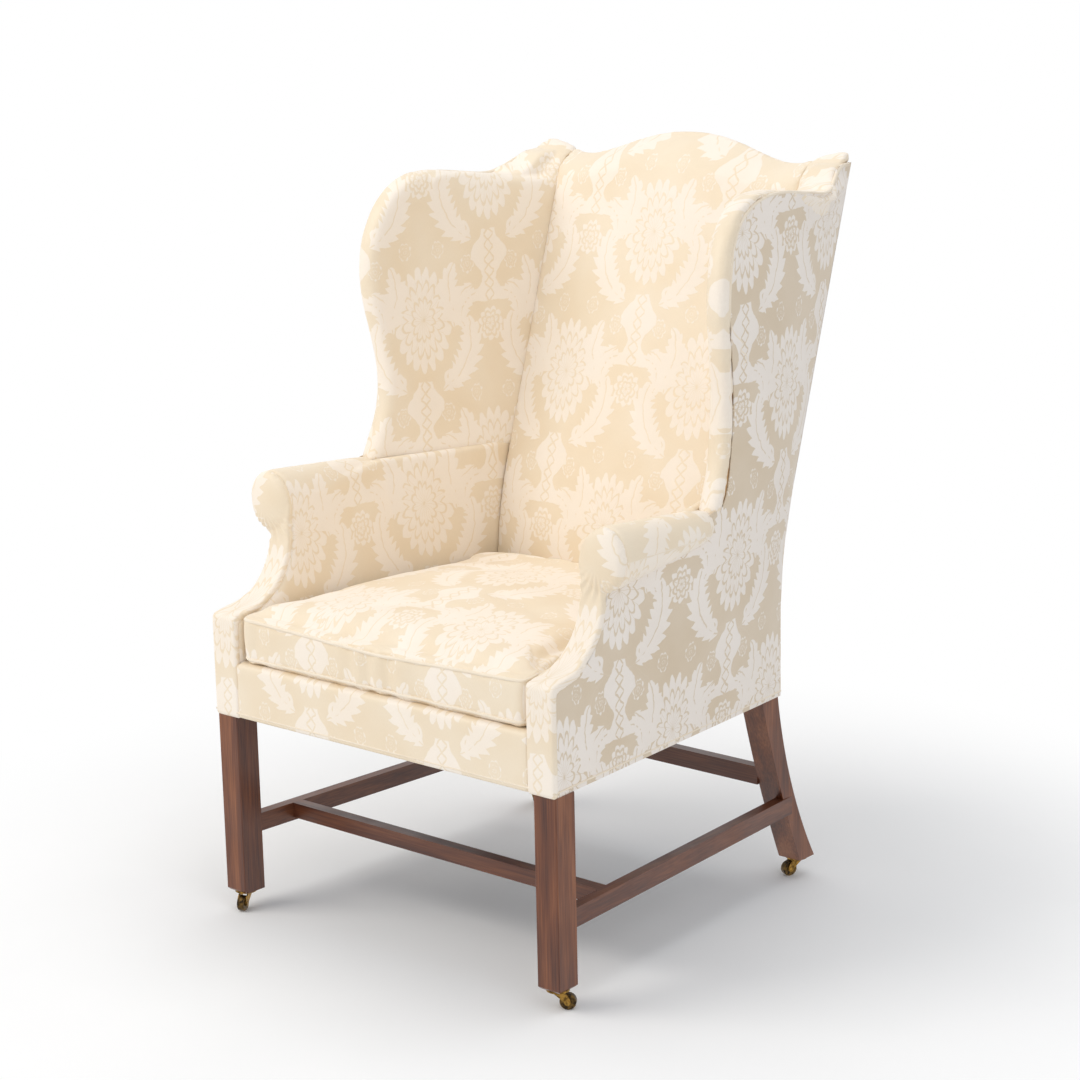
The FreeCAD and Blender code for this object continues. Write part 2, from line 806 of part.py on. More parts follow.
def outside_back():
    """The cloth back, stretched over the frame from the seat's lower edge to the crest."""
    half = size("rear_half_width")
    low = size("base_bottom")
    band = slab(back_band(0, size("cloth_thickness"), low, size("crest_height")), -half, half)
    return band.common(crest_block(size("crest_padding") + size("soft_clearance"), half, low))


def arm_front_line(offset):
    """The arm's front seen from the side, a set distance inside the cloth: up the seat's corner,
    back along a low ridge and then up the neck to the scroll."""
    ridge = size("arm_ridge_height")
    ease = 8
    start = Vector(0, offset, size("base_bottom"))
    corner = [
        Vector(0, offset, ridge - ease - offset),
        Vector(0, offset + 0.3 * ease, ridge - 0.3 * ease - offset),
        Vector(0, offset + ease, ridge - offset),
    ]
    hollow = [
        Vector(0, size("arm_ridge_depth") + 0.35 * offset, ridge + ease - 0.94 * offset),
        Vector(0, 0.8 * size("arm_front_depth") + 0.75 * offset, ridge + 5 * ease - 0.66 * offset),
        Vector(0, size("arm_front_depth") + offset, size("arm_neck_height")),
    ]
    return start, corner, hollow


def arm_side_region(offset, top, far):
    """Side outline of what lies behind the arm's front line, from the seat's edge to a height."""
    start, corner, hollow = arm_front_line(offset)
    return closed(start, corner[0], (corner[1], corner[2]), hollow[0], (hollow[1], hollow[2]),
                  Vector(0, hollow[2].y, top), Vector(0, far, top), Vector(0, far, start.z))


def arm_front_view():
    """The arm's front seen from ahead: a block at the seat, a narrow neck and an oval scroll."""
    inner = size("front_border_half_width")
    outer = size("front_half_width")
    low = size("base_bottom")
    centre_x = size("arm_roll_half_width")
    centre_z = size("arm_roll_height")
    across = size("arm_roll_radius_across")
    up = size("arm_roll_radius_up")
    neck = size("arm_neck_half_width")
    ridge = size("arm_ridge_height")
    slant = math.sqrt(0.5)

    def at(x, height):
        return Vector(x, 0, height)

    return closed(
        at(inner, low), at(inner, centre_z - 0.6 * up),
        (at(centre_x - 0.95 * across, centre_z + 0.5 * up), at(centre_x, centre_z + up)),
        (at(centre_x + slant * across, centre_z + slant * up), at(centre_x + across, centre_z)),
        (at(centre_x + slant * across, centre_z - slant * up), at(centre_x + 0.2 * across, centre_z - 0.98 * up)),
        (at(neck + 2, centre_z - 1.08 * up), at(neck, centre_z - 1.3 * up)),
        at(neck + 2, ridge + 0.4 * up), at(outer, ridge), at(outer, low))


def arm_facing():
    """The narrow cloth-covered strip that closes the front of an arm, scroll included."""
    thickness = size("arm_facing_thickness")
    top = size("arm_roll_height") + size("arm_roll_radius_up") + thickness
    start, corner, hollow = arm_front_line(0)
    _, back_corner, back_hollow = arm_front_line(thickness)
    wire = closed(start, corner[0], (corner[1], corner[2]), hollow[0], (hollow[1], hollow[2]),
                  Vector(0, hollow[2].y, top), Vector(0, back_hollow[2].y, top), back_hollow[2],
                  (back_hollow[1], back_hollow[0]), back_corner[2], (back_corner[1], back_corner[0]),
                  Vector(0, thickness, start.z))
    strip = slab(wire, 0, 2 * size("front_half_width"))
    face = Part.Face(arm_front_view()).extrude(Vector(0, size("seat_depth"), 0))
    return strip.common(face)


def oval(x, depth, height, across, up):
    """Upright oval in the plane of a depth, as four arcs."""
    slant = math.sqrt(0.5)

    def at(right, lift):
        return Vector(x + right * across, depth, height + lift * up)

    return closed(at(0, 1), (at(slant, slant), at(1, 0)), (at(slant, -slant), at(0, -1)),
                  (at(-slant, -slant), at(-1, 0)), (at(-slant, slant), at(0, 1)))


def arm_inner_foot(depth):
    """Half width to the inner face of the arm at seat level."""
    rear = size("seat_depth") - size("back_edge_thickness")
    share = min(depth / rear, 1)
    return size("arm_seat_half_width") + (size("back_half_width") - size("arm_seat_half_width")) * share


def arm_roll():
    """The stuffed out-scroll along the top of the arm, thinning as it runs into the wing."""
    x = size("arm_roll_half_width")
    z = size("arm_roll_height")
    across = size("arm_roll_radius_across")
    up = size("arm_roll_radius_up")
    rise = size("arm_roll_rise")
    near = size("arm_front_depth") + size("arm_facing_thickness") + size("soft_clearance")
    run = size("wing_meet_depth") - near
    end_across = size("arm_roll_end_radius_across")
    end_up = size("arm_roll_end_radius_up")
    wires = []
    for share, thinning in ((0, 0), (0.33, 0), (0.66, 0.12), (0.88, 0.5), (1, 1)):
        wires.append(oval(x + 0.5 * rise * share, near + share * run, z + rise * share,
                          across + (end_across - across) * thinning, up + (end_up - up) * share))
    return loft(wires)


def arm_wall():
    """The stuffed inner face of the arm, from the seat to the underside of the wing."""
    low = amount(WEBBING_TOP) + size("soft_clearance")
    near = size("arm_facing_thickness") + size("soft_clearance")
    neck = size("arm_front_depth") + near
    far = size("seat_depth") + 2 * size("back_edge_thickness")
    wing = size("wing_meet_depth")
    thick = size("arm_pad_thickness")
    top = size("arm_height") - size("soft_clearance")
    roll_inner = arm_pad_top()
    stations = [
        (near, arm_inner_foot(0), size("arm_roll_height")),
        (neck, roll_inner, size("arm_roll_height")),
        (wing, roll_inner + 11, top),
        (size("seat_depth") - size("back_edge_thickness"), size("back_half_width") + 3, top),
        (far, size("back_half_width") + 3, top),
    ]
    wires = []
    for depth, inner_top, height in stations:
        foot = arm_inner_foot(depth)
        wires.append(closed(Vector(foot, depth, low), Vector(inner_top, depth, height),
                            Vector(inner_top + thick, depth, height), Vector(foot + thick, depth, low)))
    wall = loft(wires, True)
    room = slab(arm_side_region(near, top + thick, far), 0, size("front_half_width"))
    return wall.common(room).common(before_posts())


def before_posts():
    """All the room in front of the back posts and the back's webbing."""
    front = amount(FRAME_FRONT) + size("soft_clearance")
    low = size("base_bottom")
    high = size("crest_height") + size("crest_rail_height")
    arc = bend(front)
    wire = closed(Vector(0, 0, low), on_back(0, front, low), arc[0], (arc[1], arc[2]),
                  on_back(0, front, high), Vector(0, 0, high))
    return slab(wire, 0, 2 * size("front_half_width"))


def arm_frame_inner():
    """Half width to the inner face of the arm's beech frame, behind its pad."""
    return arm_pad_top() + size("arm_pad_thickness") + size("soft_clearance")


def arm_pad_top():
    """Half width to the inner face of the arm where it turns over into the scroll."""
    return size("arm_roll_half_width") - size("arm_roll_radius_across") - size("arm_pad_lean")


def arm_rail():
    """The beech rail inside the arm roll, cut to a bend so that it passes under the wing."""
    inner = arm_frame_inner()
    near = size("arm_front_depth") + size("arm_facing_thickness") + size("soft_clearance")
    wide = size("arm_rail_width")
    wing = size("wing_meet_depth") + size("wing_board_width") - 9
    wing_inner = inner + size("wing_board_thickness")
    far = size("seat_depth") + 16
    far_inner = size("back_half_width") + 2 * size("arm_pad_thickness") + 2
    low = size("arm_rail_bottom")
    corners = [(inner, near), (inner + wide, near), (wing_inner + wide, wing), (far_inner + wide, far),
               (far_inner, far), (wing_inner, wing)]
    plan = polygon([Vector(x, depth, low) for x, depth in corners])
    return plan.extrude(Vector(0, 0, size("arm_rail_height"))).common(before_posts())


def arm_stump():
    """The shaped beech upright at the front of the arm, standing on the leg and the side rail."""
    inner = arm_frame_inner()
    low = amount(RAIL_TOP)
    high = size("arm_rail_bottom")
    near = size("arm_facing_thickness") + 2 * size("soft_clearance")
    far = size("arm_front_depth") + size("arm_rail_width")
    wire = arm_side_region(near, high, far)
    blank = slab(wire, inner, inner + size("arm_stump_thickness"))
    deck = Part.makeBox(3 * far, 3 * far, high, Vector(0, -far, low))
    return blank.common(deck)


WING_CORNER = [row[0] for row in WING_EDGE].index("shoulder")


def wing_edge_depth(name):
    if name in BEHIND:
        return size("overall_depth") - size("wing_" + name + "_setback")
    return size("wing_" + name + "_depth")


def wing_stations():
    names = [row[0] for row in WING_EDGE]
    stations = []
    for name in names:
        half = size("wing_" + name + "_half_width")
        edge = Vector(0, wing_edge_depth(name), size("wing_" + name + "_height"))
        rear = on_back(0, 0, size("wing_" + name + "_rear_height"))
        stations.append((half, edge, rear))
    return stations


def wing_point(station, x, along):
    """A point in a wing section: half width, and distance back from the welted edge."""
    _, edge, rear = station
    direction = (rear - edge).normalize()
    place_on = edge + direction * along
    return Vector(x, place_on.y, place_on.z)


def wing_outer(station, along):
    """Half width of the wing's outer cloth at a distance back from the edge."""
    half, edge, rear = station
    length = edge.distanceToPoint(rear)
    share = along / length
    bulge = size("wing_side_bulge") * min(1, length / 250)
    return half + (size("rear_half_width") - half) * share + 4 * bulge * share * (1 - share)


def wing_length(station):
    return station[1].distanceToPoint(station[2])


def wing_pad():
    """The stuffed inner face of a wing, turned over its front and top edge to the outer welt."""
    nose = size("wing_nose_length")
    width = size("wing_nose_width")
    thick = size("wing_pad_thickness")
    edge_thick = size("back_edge_thickness")
    backing = amount(FRAME_FRONT) + size("soft_clearance")
    inner = size("back_half_width")
    post = inner + size("stile_width") - 10
    wires = []
    for station in wing_stations()[:-1]:
        half = station[0]
        length = wing_length(station)

        def at(x, along):
            return wing_point(station, x, along)

        wires.append(closed(
            at(inner, length - backing), at(inner, length - edge_thick), at(half - width, 0.8 * nose),
            (at(half - 0.85 * width, 0.15 * nose), at(half - 0.5 * width, -0.1 * nose)),
            (at(half - 0.15 * width, -0.05 * nose), at(half, 0.25 * nose)),
            at(wing_outer(station, nose), nose),
            at(wing_outer(station, nose) - size("cloth_thickness") - thick, nose + 2),
            at(post, length - backing)))
    return loft(wires)


def wing_upright():
    """The sawn board up the front of a wing, standing on the arm rail and following the edge."""
    outer = size("cloth_thickness") + 2 * size("soft_clearance")
    thick = size("wing_board_thickness")
    near = size("wing_board_inset")
    far = near + size("wing_board_width")
    foot_height = size("arm_rail_bottom") + size("arm_rail_height")
    stations = wing_stations()[:WING_CORNER + 1]
    half, edge, _ = stations[0]
    foot = (half - outer, Vector(0, edge.y, foot_height), on_back(0, 0, foot_height))
    wires = []
    for station in [foot] + stations:
        wires.append(closed(*[
            wing_point(station, wing_outer(station, along) - inset, along)
            for along, inset in ((near, outer), (far, outer), (far, outer + thick), (near, outer + thick))]))
    return loft(wires)


def wing_top_rail():
    """The board along the top of a wing, from the upright back to the front of the back post."""
    thick = size("wing_board_thickness")
    drop = size("wing_rail_drop")
    post_outer = size("rear_half_width") - size("cloth_thickness")
    post_height = size("wing_dip_rear_height")
    places = []
    for name, inset in (("shoulder", 9), ("top", 11), ("dip", 14)):
        half = size("wing_" + name + "_half_width") - inset
        places.append((half, wing_edge_depth(name), size("wing_" + name + "_height") - drop))
    places[0] = (places[0][0], places[0][1] + size("wing_board_inset"), places[0][2])
    wires = []
    for half, depth, top in places:
        low = top - size("wing_rail_width")
        wires.append(closed(Vector(half, depth, low), Vector(half, depth, top),
                            Vector(half - thick, depth, top), Vector(half - thick, depth, low)))
    top = post_height - drop
    low = top - size("wing_rail_width")
    front = amount(FRAME_FRONT)
    wires.append(closed(on_back(post_outer, front, low), on_back(post_outer, front, top),
                        on_back(post_outer - thick, front, top), on_back(post_outer - thick, front, low)))
    return loft(wires, True)


def side_cover(roll_shape):
    """Outer cloth of arm and wing: flat from the seat's lower edge up to the roll, then swelling
    into the wing, and welted to the wing's edge."""
    cloth = size("cloth_thickness")
    low = size("base_bottom")
    near = size("arm_facing_thickness") + size("soft_clearance")
    wing = size("wing_meet_depth")
    neck = size("arm_neck_half_width")
    meet = wing_stations()[0]
    wing_half = meet[0]
    top = meet[1].z
    under = size("arm_roll_height")
    run = wing - size("arm_front_depth")
    stations = [
        (near, side_face(near), under),
        (size("arm_front_depth"), neck, under),
        (size("arm_front_depth") + 0.4 * run, neck + 6, under),
        (size("arm_front_depth") + 0.8 * run, neck + 17, under + 12),
        (wing, wing_half, top),
    ]
    wires = []
    for depth, half, height in stations:
        foot = side_face(depth)
        wires.append(closed(Vector(foot, depth, low), Vector(half, depth, height),
                            Vector(half - cloth, depth, height), Vector(foot - cloth, depth, low)))
    reach = size("arm_roll_height") + size("arm_roll_radius_up")
    room = slab(arm_side_region(near, reach, wing), 0, 2 * size("front_half_width"))
    arm_part = loft(wires, True).common(room)
    wires = []
    count = 4
    for index in range(count):
        share = index / (count - 1)
        height = low + (top - low) * share
        front_half = side_face(wing) + (wing_half - side_face(wing)) * share
        edge = Vector(0, wing, height)
        station = (front_half, edge, Vector(0, rear_line(height), height))
        wires.append(cover_section(station, 0, max(0.03, share)))
    lower_part = loft(wires, True)
    start = size("wing_nose_length") + 2 + size("soft_clearance")
    upper_part = loft([cover_section(station, start, 1) for station in wing_stations()])
    return arm_part.cut(roll_shape).fuse(lower_part).fuse(upper_part)


def cover_section(station, start, swell):
    """Section of the outer cloth along a wing station, from a distance behind the edge to the
    back. It is part of one arc, so that covers which start at different distances still meet."""
    cloth = size("cloth_thickness")
    length = wing_length(station) - cloth - size("soft_clearance")

    def outer(along):
        straight = station[0] + (size("rear_half_width") - station[0]) * along / wing_length(station)
        x = straight + (wing_outer(station, along) - straight) * swell
        return wing_point(station, x, along)

    whole = Part.Arc(outer(0), outer(length / 2), outer(length))
    first = whole.parameter(outer(start))
    reach = whole.LastParameter - first
    face = [whole.value(first + reach * share) for share in (0, 0.5, 1)]
    lining = [point - Vector(cloth, 0, 0) for point in face]
    return closed(face[0], (face[1], face[2]), lining[2], (lining[1], lining[0]))


def front_border():
    """The padded band across the front rail, turned back over its top edge as a soft roll."""
    half = size("front_border_half_width") - size("soft_clearance")
    low = size("base_bottom")
    top = size("cushion_seat_height")
    face = size("front_border_thickness")
    back = size("front_border_return")
    ledge = amount(WEBBING_TOP) + size("soft_clearance")
    round_off = 0.7 * face
    corner = Vector(0, 0.3 * round_off, top - 0.3 * round_off)
    wire = closed(Vector(0, 0, low), Vector(0, 0, top - round_off), (corner, Vector(0, round_off, top)),
                  Vector(0, back, top), Vector(0, back, ledge), Vector(0, face, ledge),
                  Vector(0, face, low))
    return slab(wire, -half, half)


def seat_webs():
    """Webs stretched over the seat rails, one layer front to back and one side to side."""
    thickness = size("webbing_thickness")
    width = size("webbing_width")
    pitch = size("webbing_pitch")
    low = amount(RAIL_TOP)
    front = amount("front_border_thickness + soft_clearance")
    rear = amount("seat_depth - cloth_thickness - back_frame_thickness") - 1
    inner = amount(REAR_LEG_INNER) - 2
    count = int(2 * (inner - width / 2) / pitch) + 1
    strips = []
    for index in range(count):
        x = (index - (count - 1) / 2) * pitch
        strips.append(Part.makeBox(width, rear - front, thickness, Vector(x - width / 2, front, low)))
    solid("seat_webbing_lengthwise", Part.makeCompound(strips))
    strips = []
    first = front + size("leg_width")
    count = int((rear - width - first) / pitch) + 1
    for index in range(count):
        depth = first + index * pitch
        rail_reach = side_face(depth + width) - size("arm_pad_thickness")
        half = min(rail_reach, arm_frame_inner() - size("soft_clearance"))
        strips.append(Part.makeBox(2 * half, width, thickness, Vector(-half, depth, low + thickness)))
    solid("seat_webbing_crosswise", Part.makeCompound(strips))


def back_front_face():
    """Depth of the inside back's fullest point, at seat level."""
    return size("seat_depth") - size("back_edge_thickness") - size("back_crown")


def seat_deck():
    """The stuffed platform under the cushion, covered in plain cloth."""
    low = amount(WEBBING_TOP) + size("soft_clearance")
    high = size("cushion_seat_height")
    gap = size("soft_clearance")
    near = size("front_border_return") + gap
    far = back_front_face() - gap
    corners = [(-arm_inner_foot(near) + gap, near), (arm_inner_foot(near) - gap, near),
               (arm_inner_foot(far) - gap, far), (-arm_inner_foot(far) + gap, far)]
    plan = polygon([Vector(x, depth, low) for x, depth in corners])
    return plan.extrude(Vector(0, 0, high - low))


def bottom_cloth():
    """Black canvas closing the underside of the seat, cut round the legs."""
    low = size("base_bottom") + size("cloth_thickness") - 1
    near = size("front_border_thickness")
    far = amount(REAR_LEG_REAR)
    seam = size("cloth_thickness") + size("soft_clearance")
    near_half = side_face(near) - seam
    far_half = side_face(far) - seam
    corners = [Vector(-near_half, near, low), Vector(near_half, near, low),
               Vector(far_half, far, low), Vector(-far_half, far, low)]
    cloth = polygon(corners).extrude(Vector(0, 0, 1))
    high = 3 * size("cloth_thickness")
    wide = size("leg_width") + size("leg_shoulder")
    for side in (-1, 1):
        for inner, leg_front in ((FRONT_LEG_INNER, "leg_setback"), (REAR_LEG_INNER, REAR_LEG_FRONT)):
            half = amount(inner) - size("soft_clearance")
            start = half if side > 0 else -half - wide
            depth = amount(leg_front) - wide + size("leg_width")
            corner = Vector(start, depth - 2 * size("soft_clearance"), low - high / 2)
            cloth = cloth.cut(Part.makeBox(wide, wide + 3 * size("soft_clearance"), high, corner))
    return cloth


def seat_cushion():
    """The loose cushion: crowned on top, its sides swelling and drawn in between the corners."""
    low = size("cushion_seat_height") + size("soft_clearance")
    top = low + size("cushion_thickness")
    crown = size("cushion_crown")
    bulge = size("cushion_side_bulge")
    near = size("cushion_front_inset")
    depth = back_front_face() - size("cushion_back_gap") - near
    draw = size("cushion_side_draw")
    side_gap = size("cushion_side_gap")
    stations = [
        (0.000, 6, 3, -size("cushion_front_sag"), 0.0),
        (0.018, 0, 0, -size("cushion_front_sag") + 3, 0.0),
        (0.120, 0, 0, 0.45 * crown, 0.4),
        (0.320, 0, 0, 0.90 * crown, 1.0),
        (0.600, 0, 0, crown, 1.0),
        (0.850, 0, 0, 0.75 * crown, 0.5),
        (0.980, 0, 0, 0.35 * crown, 0.0),
        (1.000, 6, 4, 0.15 * crown, 0.0),
    ]
    wires = []
    for share, inset, tuck, lift, drawn in stations:
        along = near + share * depth
        half = arm_inner_foot(along) - bulge - side_gap - inset - draw * drawn
        floor_edge = half - 12

        def at(x, height):
            return Vector(x, along, height)

        wires.append(closed(
            at(-floor_edge, low + tuck), at(floor_edge, low + tuck),
            (at(half - 3.5, low + tuck + 3.5), at(half, low + tuck + 12)),
            (at(half + bulge, (low + top) / 2), at(half, top - tuck)),
            (at(0, top - tuck + lift), at(-half, top - tuck)),
            (at(-half - bulge, (low + top) / 2), at(-half, low + tuck + 12)),
            (at(-half + 3.5, low + tuck + 3.5), at(-floor_edge, low + tuck))))
    under = Part.makeBox(2 * depth, 2 * depth, top, Vector(-depth, -depth / 2, low - top))
    return loft(wires).cut(under)


def castor(corner, side, row, trail_angle):
    """One small brass castor: a plate and stem fixed in the foot, a horn that swivels on the
    plate's pintle, and a wheel on its axle."""
    if row == "front":
        x = side * (size("front_half_width") - size("leg_width") / 2)
        depth = size("leg_setback") + size("leg_width") / 2
    else:
        x = side * (size("rear_leg_half_width") - size("leg_width") / 2)
        depth = size("seat_depth") + size("rear_leg_sweep") - size("rear_leg_foot_depth") / 2
    foot = size("leg_bottom")
    plate_low = foot - size("castor_plate_thickness")
    horn_top = plate_low - size("running_clearance")
    horn_low = horn_top - size("castor_horn_thickness")
    pin = size("castor_pintle_radius")
    head = size("castor_pintle_head_radius")
    head_height = size("castor_pintle_head_height")
    pin_low = horn_low - size("running_clearance") - head_height
    fixed = Part.makeCylinder(size("castor_plate_radius"), size("castor_plate_thickness"),
                              Vector(0, 0, plate_low))
    fixed = fixed.fuse(Part.makeCylinder(size("castor_stem_radius"), size("castor_stem_length"),
                                         Vector(0, 0, foot)))
    fixed = fixed.fuse(Part.makeCylinder(pin, plate_low - pin_low, Vector(0, 0, pin_low)))
    fixed = fixed.fuse(Part.makeCylinder(head, head_height, Vector(0, 0, pin_low)))
    wheel_radius = size("castor_wheel_radius")
    width = size("castor_wheel_width")
    trail = size("castor_trail")
    cheek = size("castor_cheek_thickness")
    gap = size("running_clearance")
    axle = size("castor_axle_radius")
    bore = axle + size("pin_clearance")
    horn = Part.makeCylinder(size("castor_horn_radius"), size("castor_horn_thickness"),
                             Vector(0, 0, horn_low))
    inside = width / 2 + gap
    for way in (-1, 1):
        low_edge = inside if way > 0 else -inside - cheek
        outline = closed(Vector(low_edge, size("castor_horn_radius") * 0.6, horn_top),
                         Vector(low_edge, -size("castor_horn_radius") * 0.6, horn_top),
                         (Vector(low_edge, -trail * 0.9, horn_top - 4),
                          Vector(low_edge, -trail - axle - 2.5, wheel_radius)),
                         (Vector(low_edge, -trail, wheel_radius - axle - 2.5),
                          Vector(low_edge, -trail + axle + 2.5, wheel_radius)),
                         Vector(low_edge, size("castor_horn_radius") * 0.6, horn_low))
        horn = horn.fuse(Part.Face(outline).extrude(Vector(cheek, 0, 0)))
    horn = horn.cut(Part.makeCylinder(pin + size("pin_clearance"), foot, Vector(0, 0, 0)))
    across = Vector(1, 0, 0)
    length = 2 * (inside + cheek)
    axle_at = Vector(-length / 2, -trail, wheel_radius)
    horn = horn.cut(Part.makeCylinder(axle, length, axle_at, across))
    rod = Part.makeCylinder(axle, length, axle_at, across)
    rivet = size("castor_rivet_radius")
    rivet_height = size("castor_rivet_height")
    for start in (-length / 2 - rivet_height, length / 2):
        rod = rod.fuse(Part.makeCylinder(rivet, rivet_height, Vector(start, -trail, wheel_radius), across))
    wheel = Part.makeCylinder(wheel_radius, width, Vector(-width / 2, -trail, wheel_radius), across)
    round_edges = [edge for edge in wheel.Edges if len(edge.Vertexes) == 1]
    wheel = wheel.makeFillet(2, round_edges)
    wheel = wheel.cut(Part.makeCylinder(bore, 2 * width, Vector(-width, -trail, wheel_radius), across))
    turn = Placement(Vector(x, depth, 0), Rotation(Vector(0, 0, 1), trail_angle))
    for stem, shape in (("plate", fixed), ("horn", horn), ("axle", rod), ("wheel", wheel)):
        shape.Placement = turn.multiply(shape.Placement)
        solid("castor_" + stem + "_" + corner, shape)


def flipped(shape):
    """The same shape on the left-hand side."""
    return shape.mirror(Vector(0, 0, 0), Vector(1, 0, 0))


legs_and_stretchers()
seat_rails()
corner_blocks()
crest, crest_low = back_frame()
back_webbing(crest_low)
back_cloth = outside_back()
solid("outside_back", back_cloth)
solid("inside_back", inside_back().cut(crest).cut(back_cloth))
roll = arm_roll()
rail = arm_rail()
stump = arm_stump()
arm_pad = arm_wall().fuse(roll).cut(rail).cut(stump)
pair("arm_facing", arm_facing())
pair("inside_arm", arm_pad)
pair("arm_rail", rail)
pair("arm_stump", stump)
top_rail = wing_top_rail()
upright = wing_upright().cut(top_rail)
side_cloth = side_cover(roll).cut(back_cloth)
ear = wing_ear().cut(side_cloth)
pair("inside_wing", wing_pad().cut(upright).fuse(ear).cut(top_rail))
pair("wing_upright", upright)
pair("wing_top_rail", top_rail)
pair("outside_side", side_cloth)
solid("front_border", front_border().cut(arm_pad).cut(flipped(arm_pad)))
seat_webs()
solid("seat_deck", seat_deck())
solid("bottom_cloth", bottom_cloth())
solid("seat_cushion", seat_cushion())
for entry in CASTORS:
    castor(*entry)


def check_and_write():
    doc.recompute()
    for item in doc.Objects:
        if "Invalid" in item.State or "Error" in item.State:
            raise RuntimeError(item.Name + " did not compute: " + str(item.State))
    for piece in PIECES:
        shape = piece.Shape
        if shape.isNull() or not shape.isValid() or not shape.Solids:
            raise RuntimeError(piece.Label + " has no sound solid")
    os.makedirs("parts", exist_ok=True)
    for piece in PIECES:
        piece.Shape.exportStep(os.path.join("parts", piece.Label + ".step"))
        box = piece.Shape.BoundBox
        print("%-22s %2d %9.1f cm3  x %7.1f %7.1f  y %7.1f %7.1f  z %7.1f %7.1f" % (
            piece.Label, len(piece.Shape.Solids), piece.Shape.Volume / 1000,
            box.XMin, box.XMax, box.YMin, box.YMax, box.ZMin, box.ZMax))


check_and_write()
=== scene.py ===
import math

import bmesh
import bpy
import numpy as np
from mathutils import Matrix, Vector
from mathutils.bvhtree import BVHTree


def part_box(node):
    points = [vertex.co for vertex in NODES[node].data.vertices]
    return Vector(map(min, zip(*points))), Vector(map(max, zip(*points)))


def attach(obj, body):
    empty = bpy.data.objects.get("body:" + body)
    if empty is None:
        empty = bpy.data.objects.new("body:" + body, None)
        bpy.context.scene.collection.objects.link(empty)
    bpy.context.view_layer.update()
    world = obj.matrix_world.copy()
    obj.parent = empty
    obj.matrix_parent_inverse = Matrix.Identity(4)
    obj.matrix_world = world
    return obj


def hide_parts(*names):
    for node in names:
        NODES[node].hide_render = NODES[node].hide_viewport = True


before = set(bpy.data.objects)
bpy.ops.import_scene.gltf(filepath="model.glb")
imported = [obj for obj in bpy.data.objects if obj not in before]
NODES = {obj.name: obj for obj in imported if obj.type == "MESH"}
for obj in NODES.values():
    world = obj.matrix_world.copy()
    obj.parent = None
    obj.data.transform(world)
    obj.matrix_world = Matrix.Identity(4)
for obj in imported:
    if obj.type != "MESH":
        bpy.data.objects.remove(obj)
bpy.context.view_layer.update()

# Sizes in metres, angles in degrees
ARM_NECK_HEIGHT = 0.580      # where the arm front turns out into its scroll
SCROLL_ACROSS = 0.331        # half width to the middle of the arm scroll
SCROLL_HEIGHT = 0.629
SCROLL_RADIUS = 0.040
SCROLL_RISE = 1.15           # the scroll's height to its width
SCROLL_DOME = 0.009          # how far its front is packed out
PLEAT_DEPTH = 0.0014         # pleats below the scroll: depth, waves to a radian, and reach up and down
PLEAT_COUNT = 26
PLEAT_REACH = 0.020
PLEAT_RISE = 0.004           # from the neck up to the middle of the pleats
WING_SEAT = 0.658            # height at which a wing's cover comes down on the arm
WING_SETTLE = 0.007
WING_SETTLE_REACH = 0.05
CUSHION_SEAM_TOP = 0.478
CUSHION_SEAM_LOW = 0.4115
CUSHION_SEAM_DIP = 0.012     # the top seam hangs lower in the middle of the front
CUSHION_NARROWING = 0.036    # half width that the cushion loses towards the back
CUSHION_TOP = 0.46           # its creases start above this height, and its front folds before this depth
CUSHION_FRONT = -0.34
CREASE_BLEND = 0.02
FOLD_DEPTH = 0.0024
BOXING_OFFSET = 0.40         # from the cloth of the cushion's top to that of its sides
WELT_RADIUS = 0.0030         # covered cord along the edges
WELT_INSET = 0.0022          # from the outer face of a side cover to the middle of its cord
CUSHION_WELT_RADIUS = 0.0026
CUSHION_WELT_PROUD = 0.0006
HEM_RADIUS = 0.0014
HEM_HEIGHT = 0.3255          # stitched line above the lower edge of the seat cover
WING_MIDDLE = (0.16, 0.86)   # depth and height of a place inside the wing, seen from the side
WING_RIM = (-22.0, 128.0)    # round it from the arm, over the top, to the ear
WELT_POINTS = 110
HEM_STEPS = 40
SEAM_STEPS = 70
EAR_DEPTHS = (0.095, 0.345)  # from where to where a wing's top is filled, up to the ear of the crest
EAR_MIDDLE = 0.26
EAR_FILL = 0.042             # height of the stuffing there
EAR_INSET = 0.001            # from the outer cover's inner face in to that stuffing
EAR_DROP = 0.004             # below the rim, where that face is first measured
EAR_SOUNDING = 0.2           # half width from which it is measured, outwards
EAR_INNER = (0.300, 0.280, 0.258)   # half widths at its inner face: start, past the middle, ear
RIM_STEP = 0.008
RIM_LAP = 0.001
RIM_EASING = 6               # smoothing passes along the wing's cord and along the cushion's
SEAM_EASING = 4
SAME_PLACE = 0.00001         # corners nearer than this are one
# Valleys in the cushion's top: from (x, y) to (x, y), half width and depth
CUSHION_VALLEYS = [
    (-0.10, -0.30, 0.06, -0.24, 0.016, 0.0030),
    (0.02, -0.16, 0.20, -0.20, 0.020, 0.0035),
    (-0.18, -0.08, -0.02, -0.02, 0.022, 0.0035),
    (0.10, -0.05, 0.22, 0.02, 0.018, 0.0030),
]
# How a cover is made from its solid: size of the even mesh and how far it is let out
VOXEL = 0.005
FINE_VOXEL = 0.003
BORDER_VOXEL = 0.004
COARSE_VOXEL = 0.006
ARM_PROUD = 0.0020
WING_PROUD = 0.0024
BACK_PROUD = 0.0022
FACING_PROUD = 0.0016
BORDER_PROUD = 0.0006
CUSHION_PROUD = 0.0016
# The loose cushion's stuffing: pressure, furthest move, first drawn in by, and least sink
CUSHION_PRESSURE = 5.0
CUSHION_SWELL = 0.016
CUSHION_START = 0.004
SINK_LIMIT = 0.002
STUFFING_FRAMES = 20
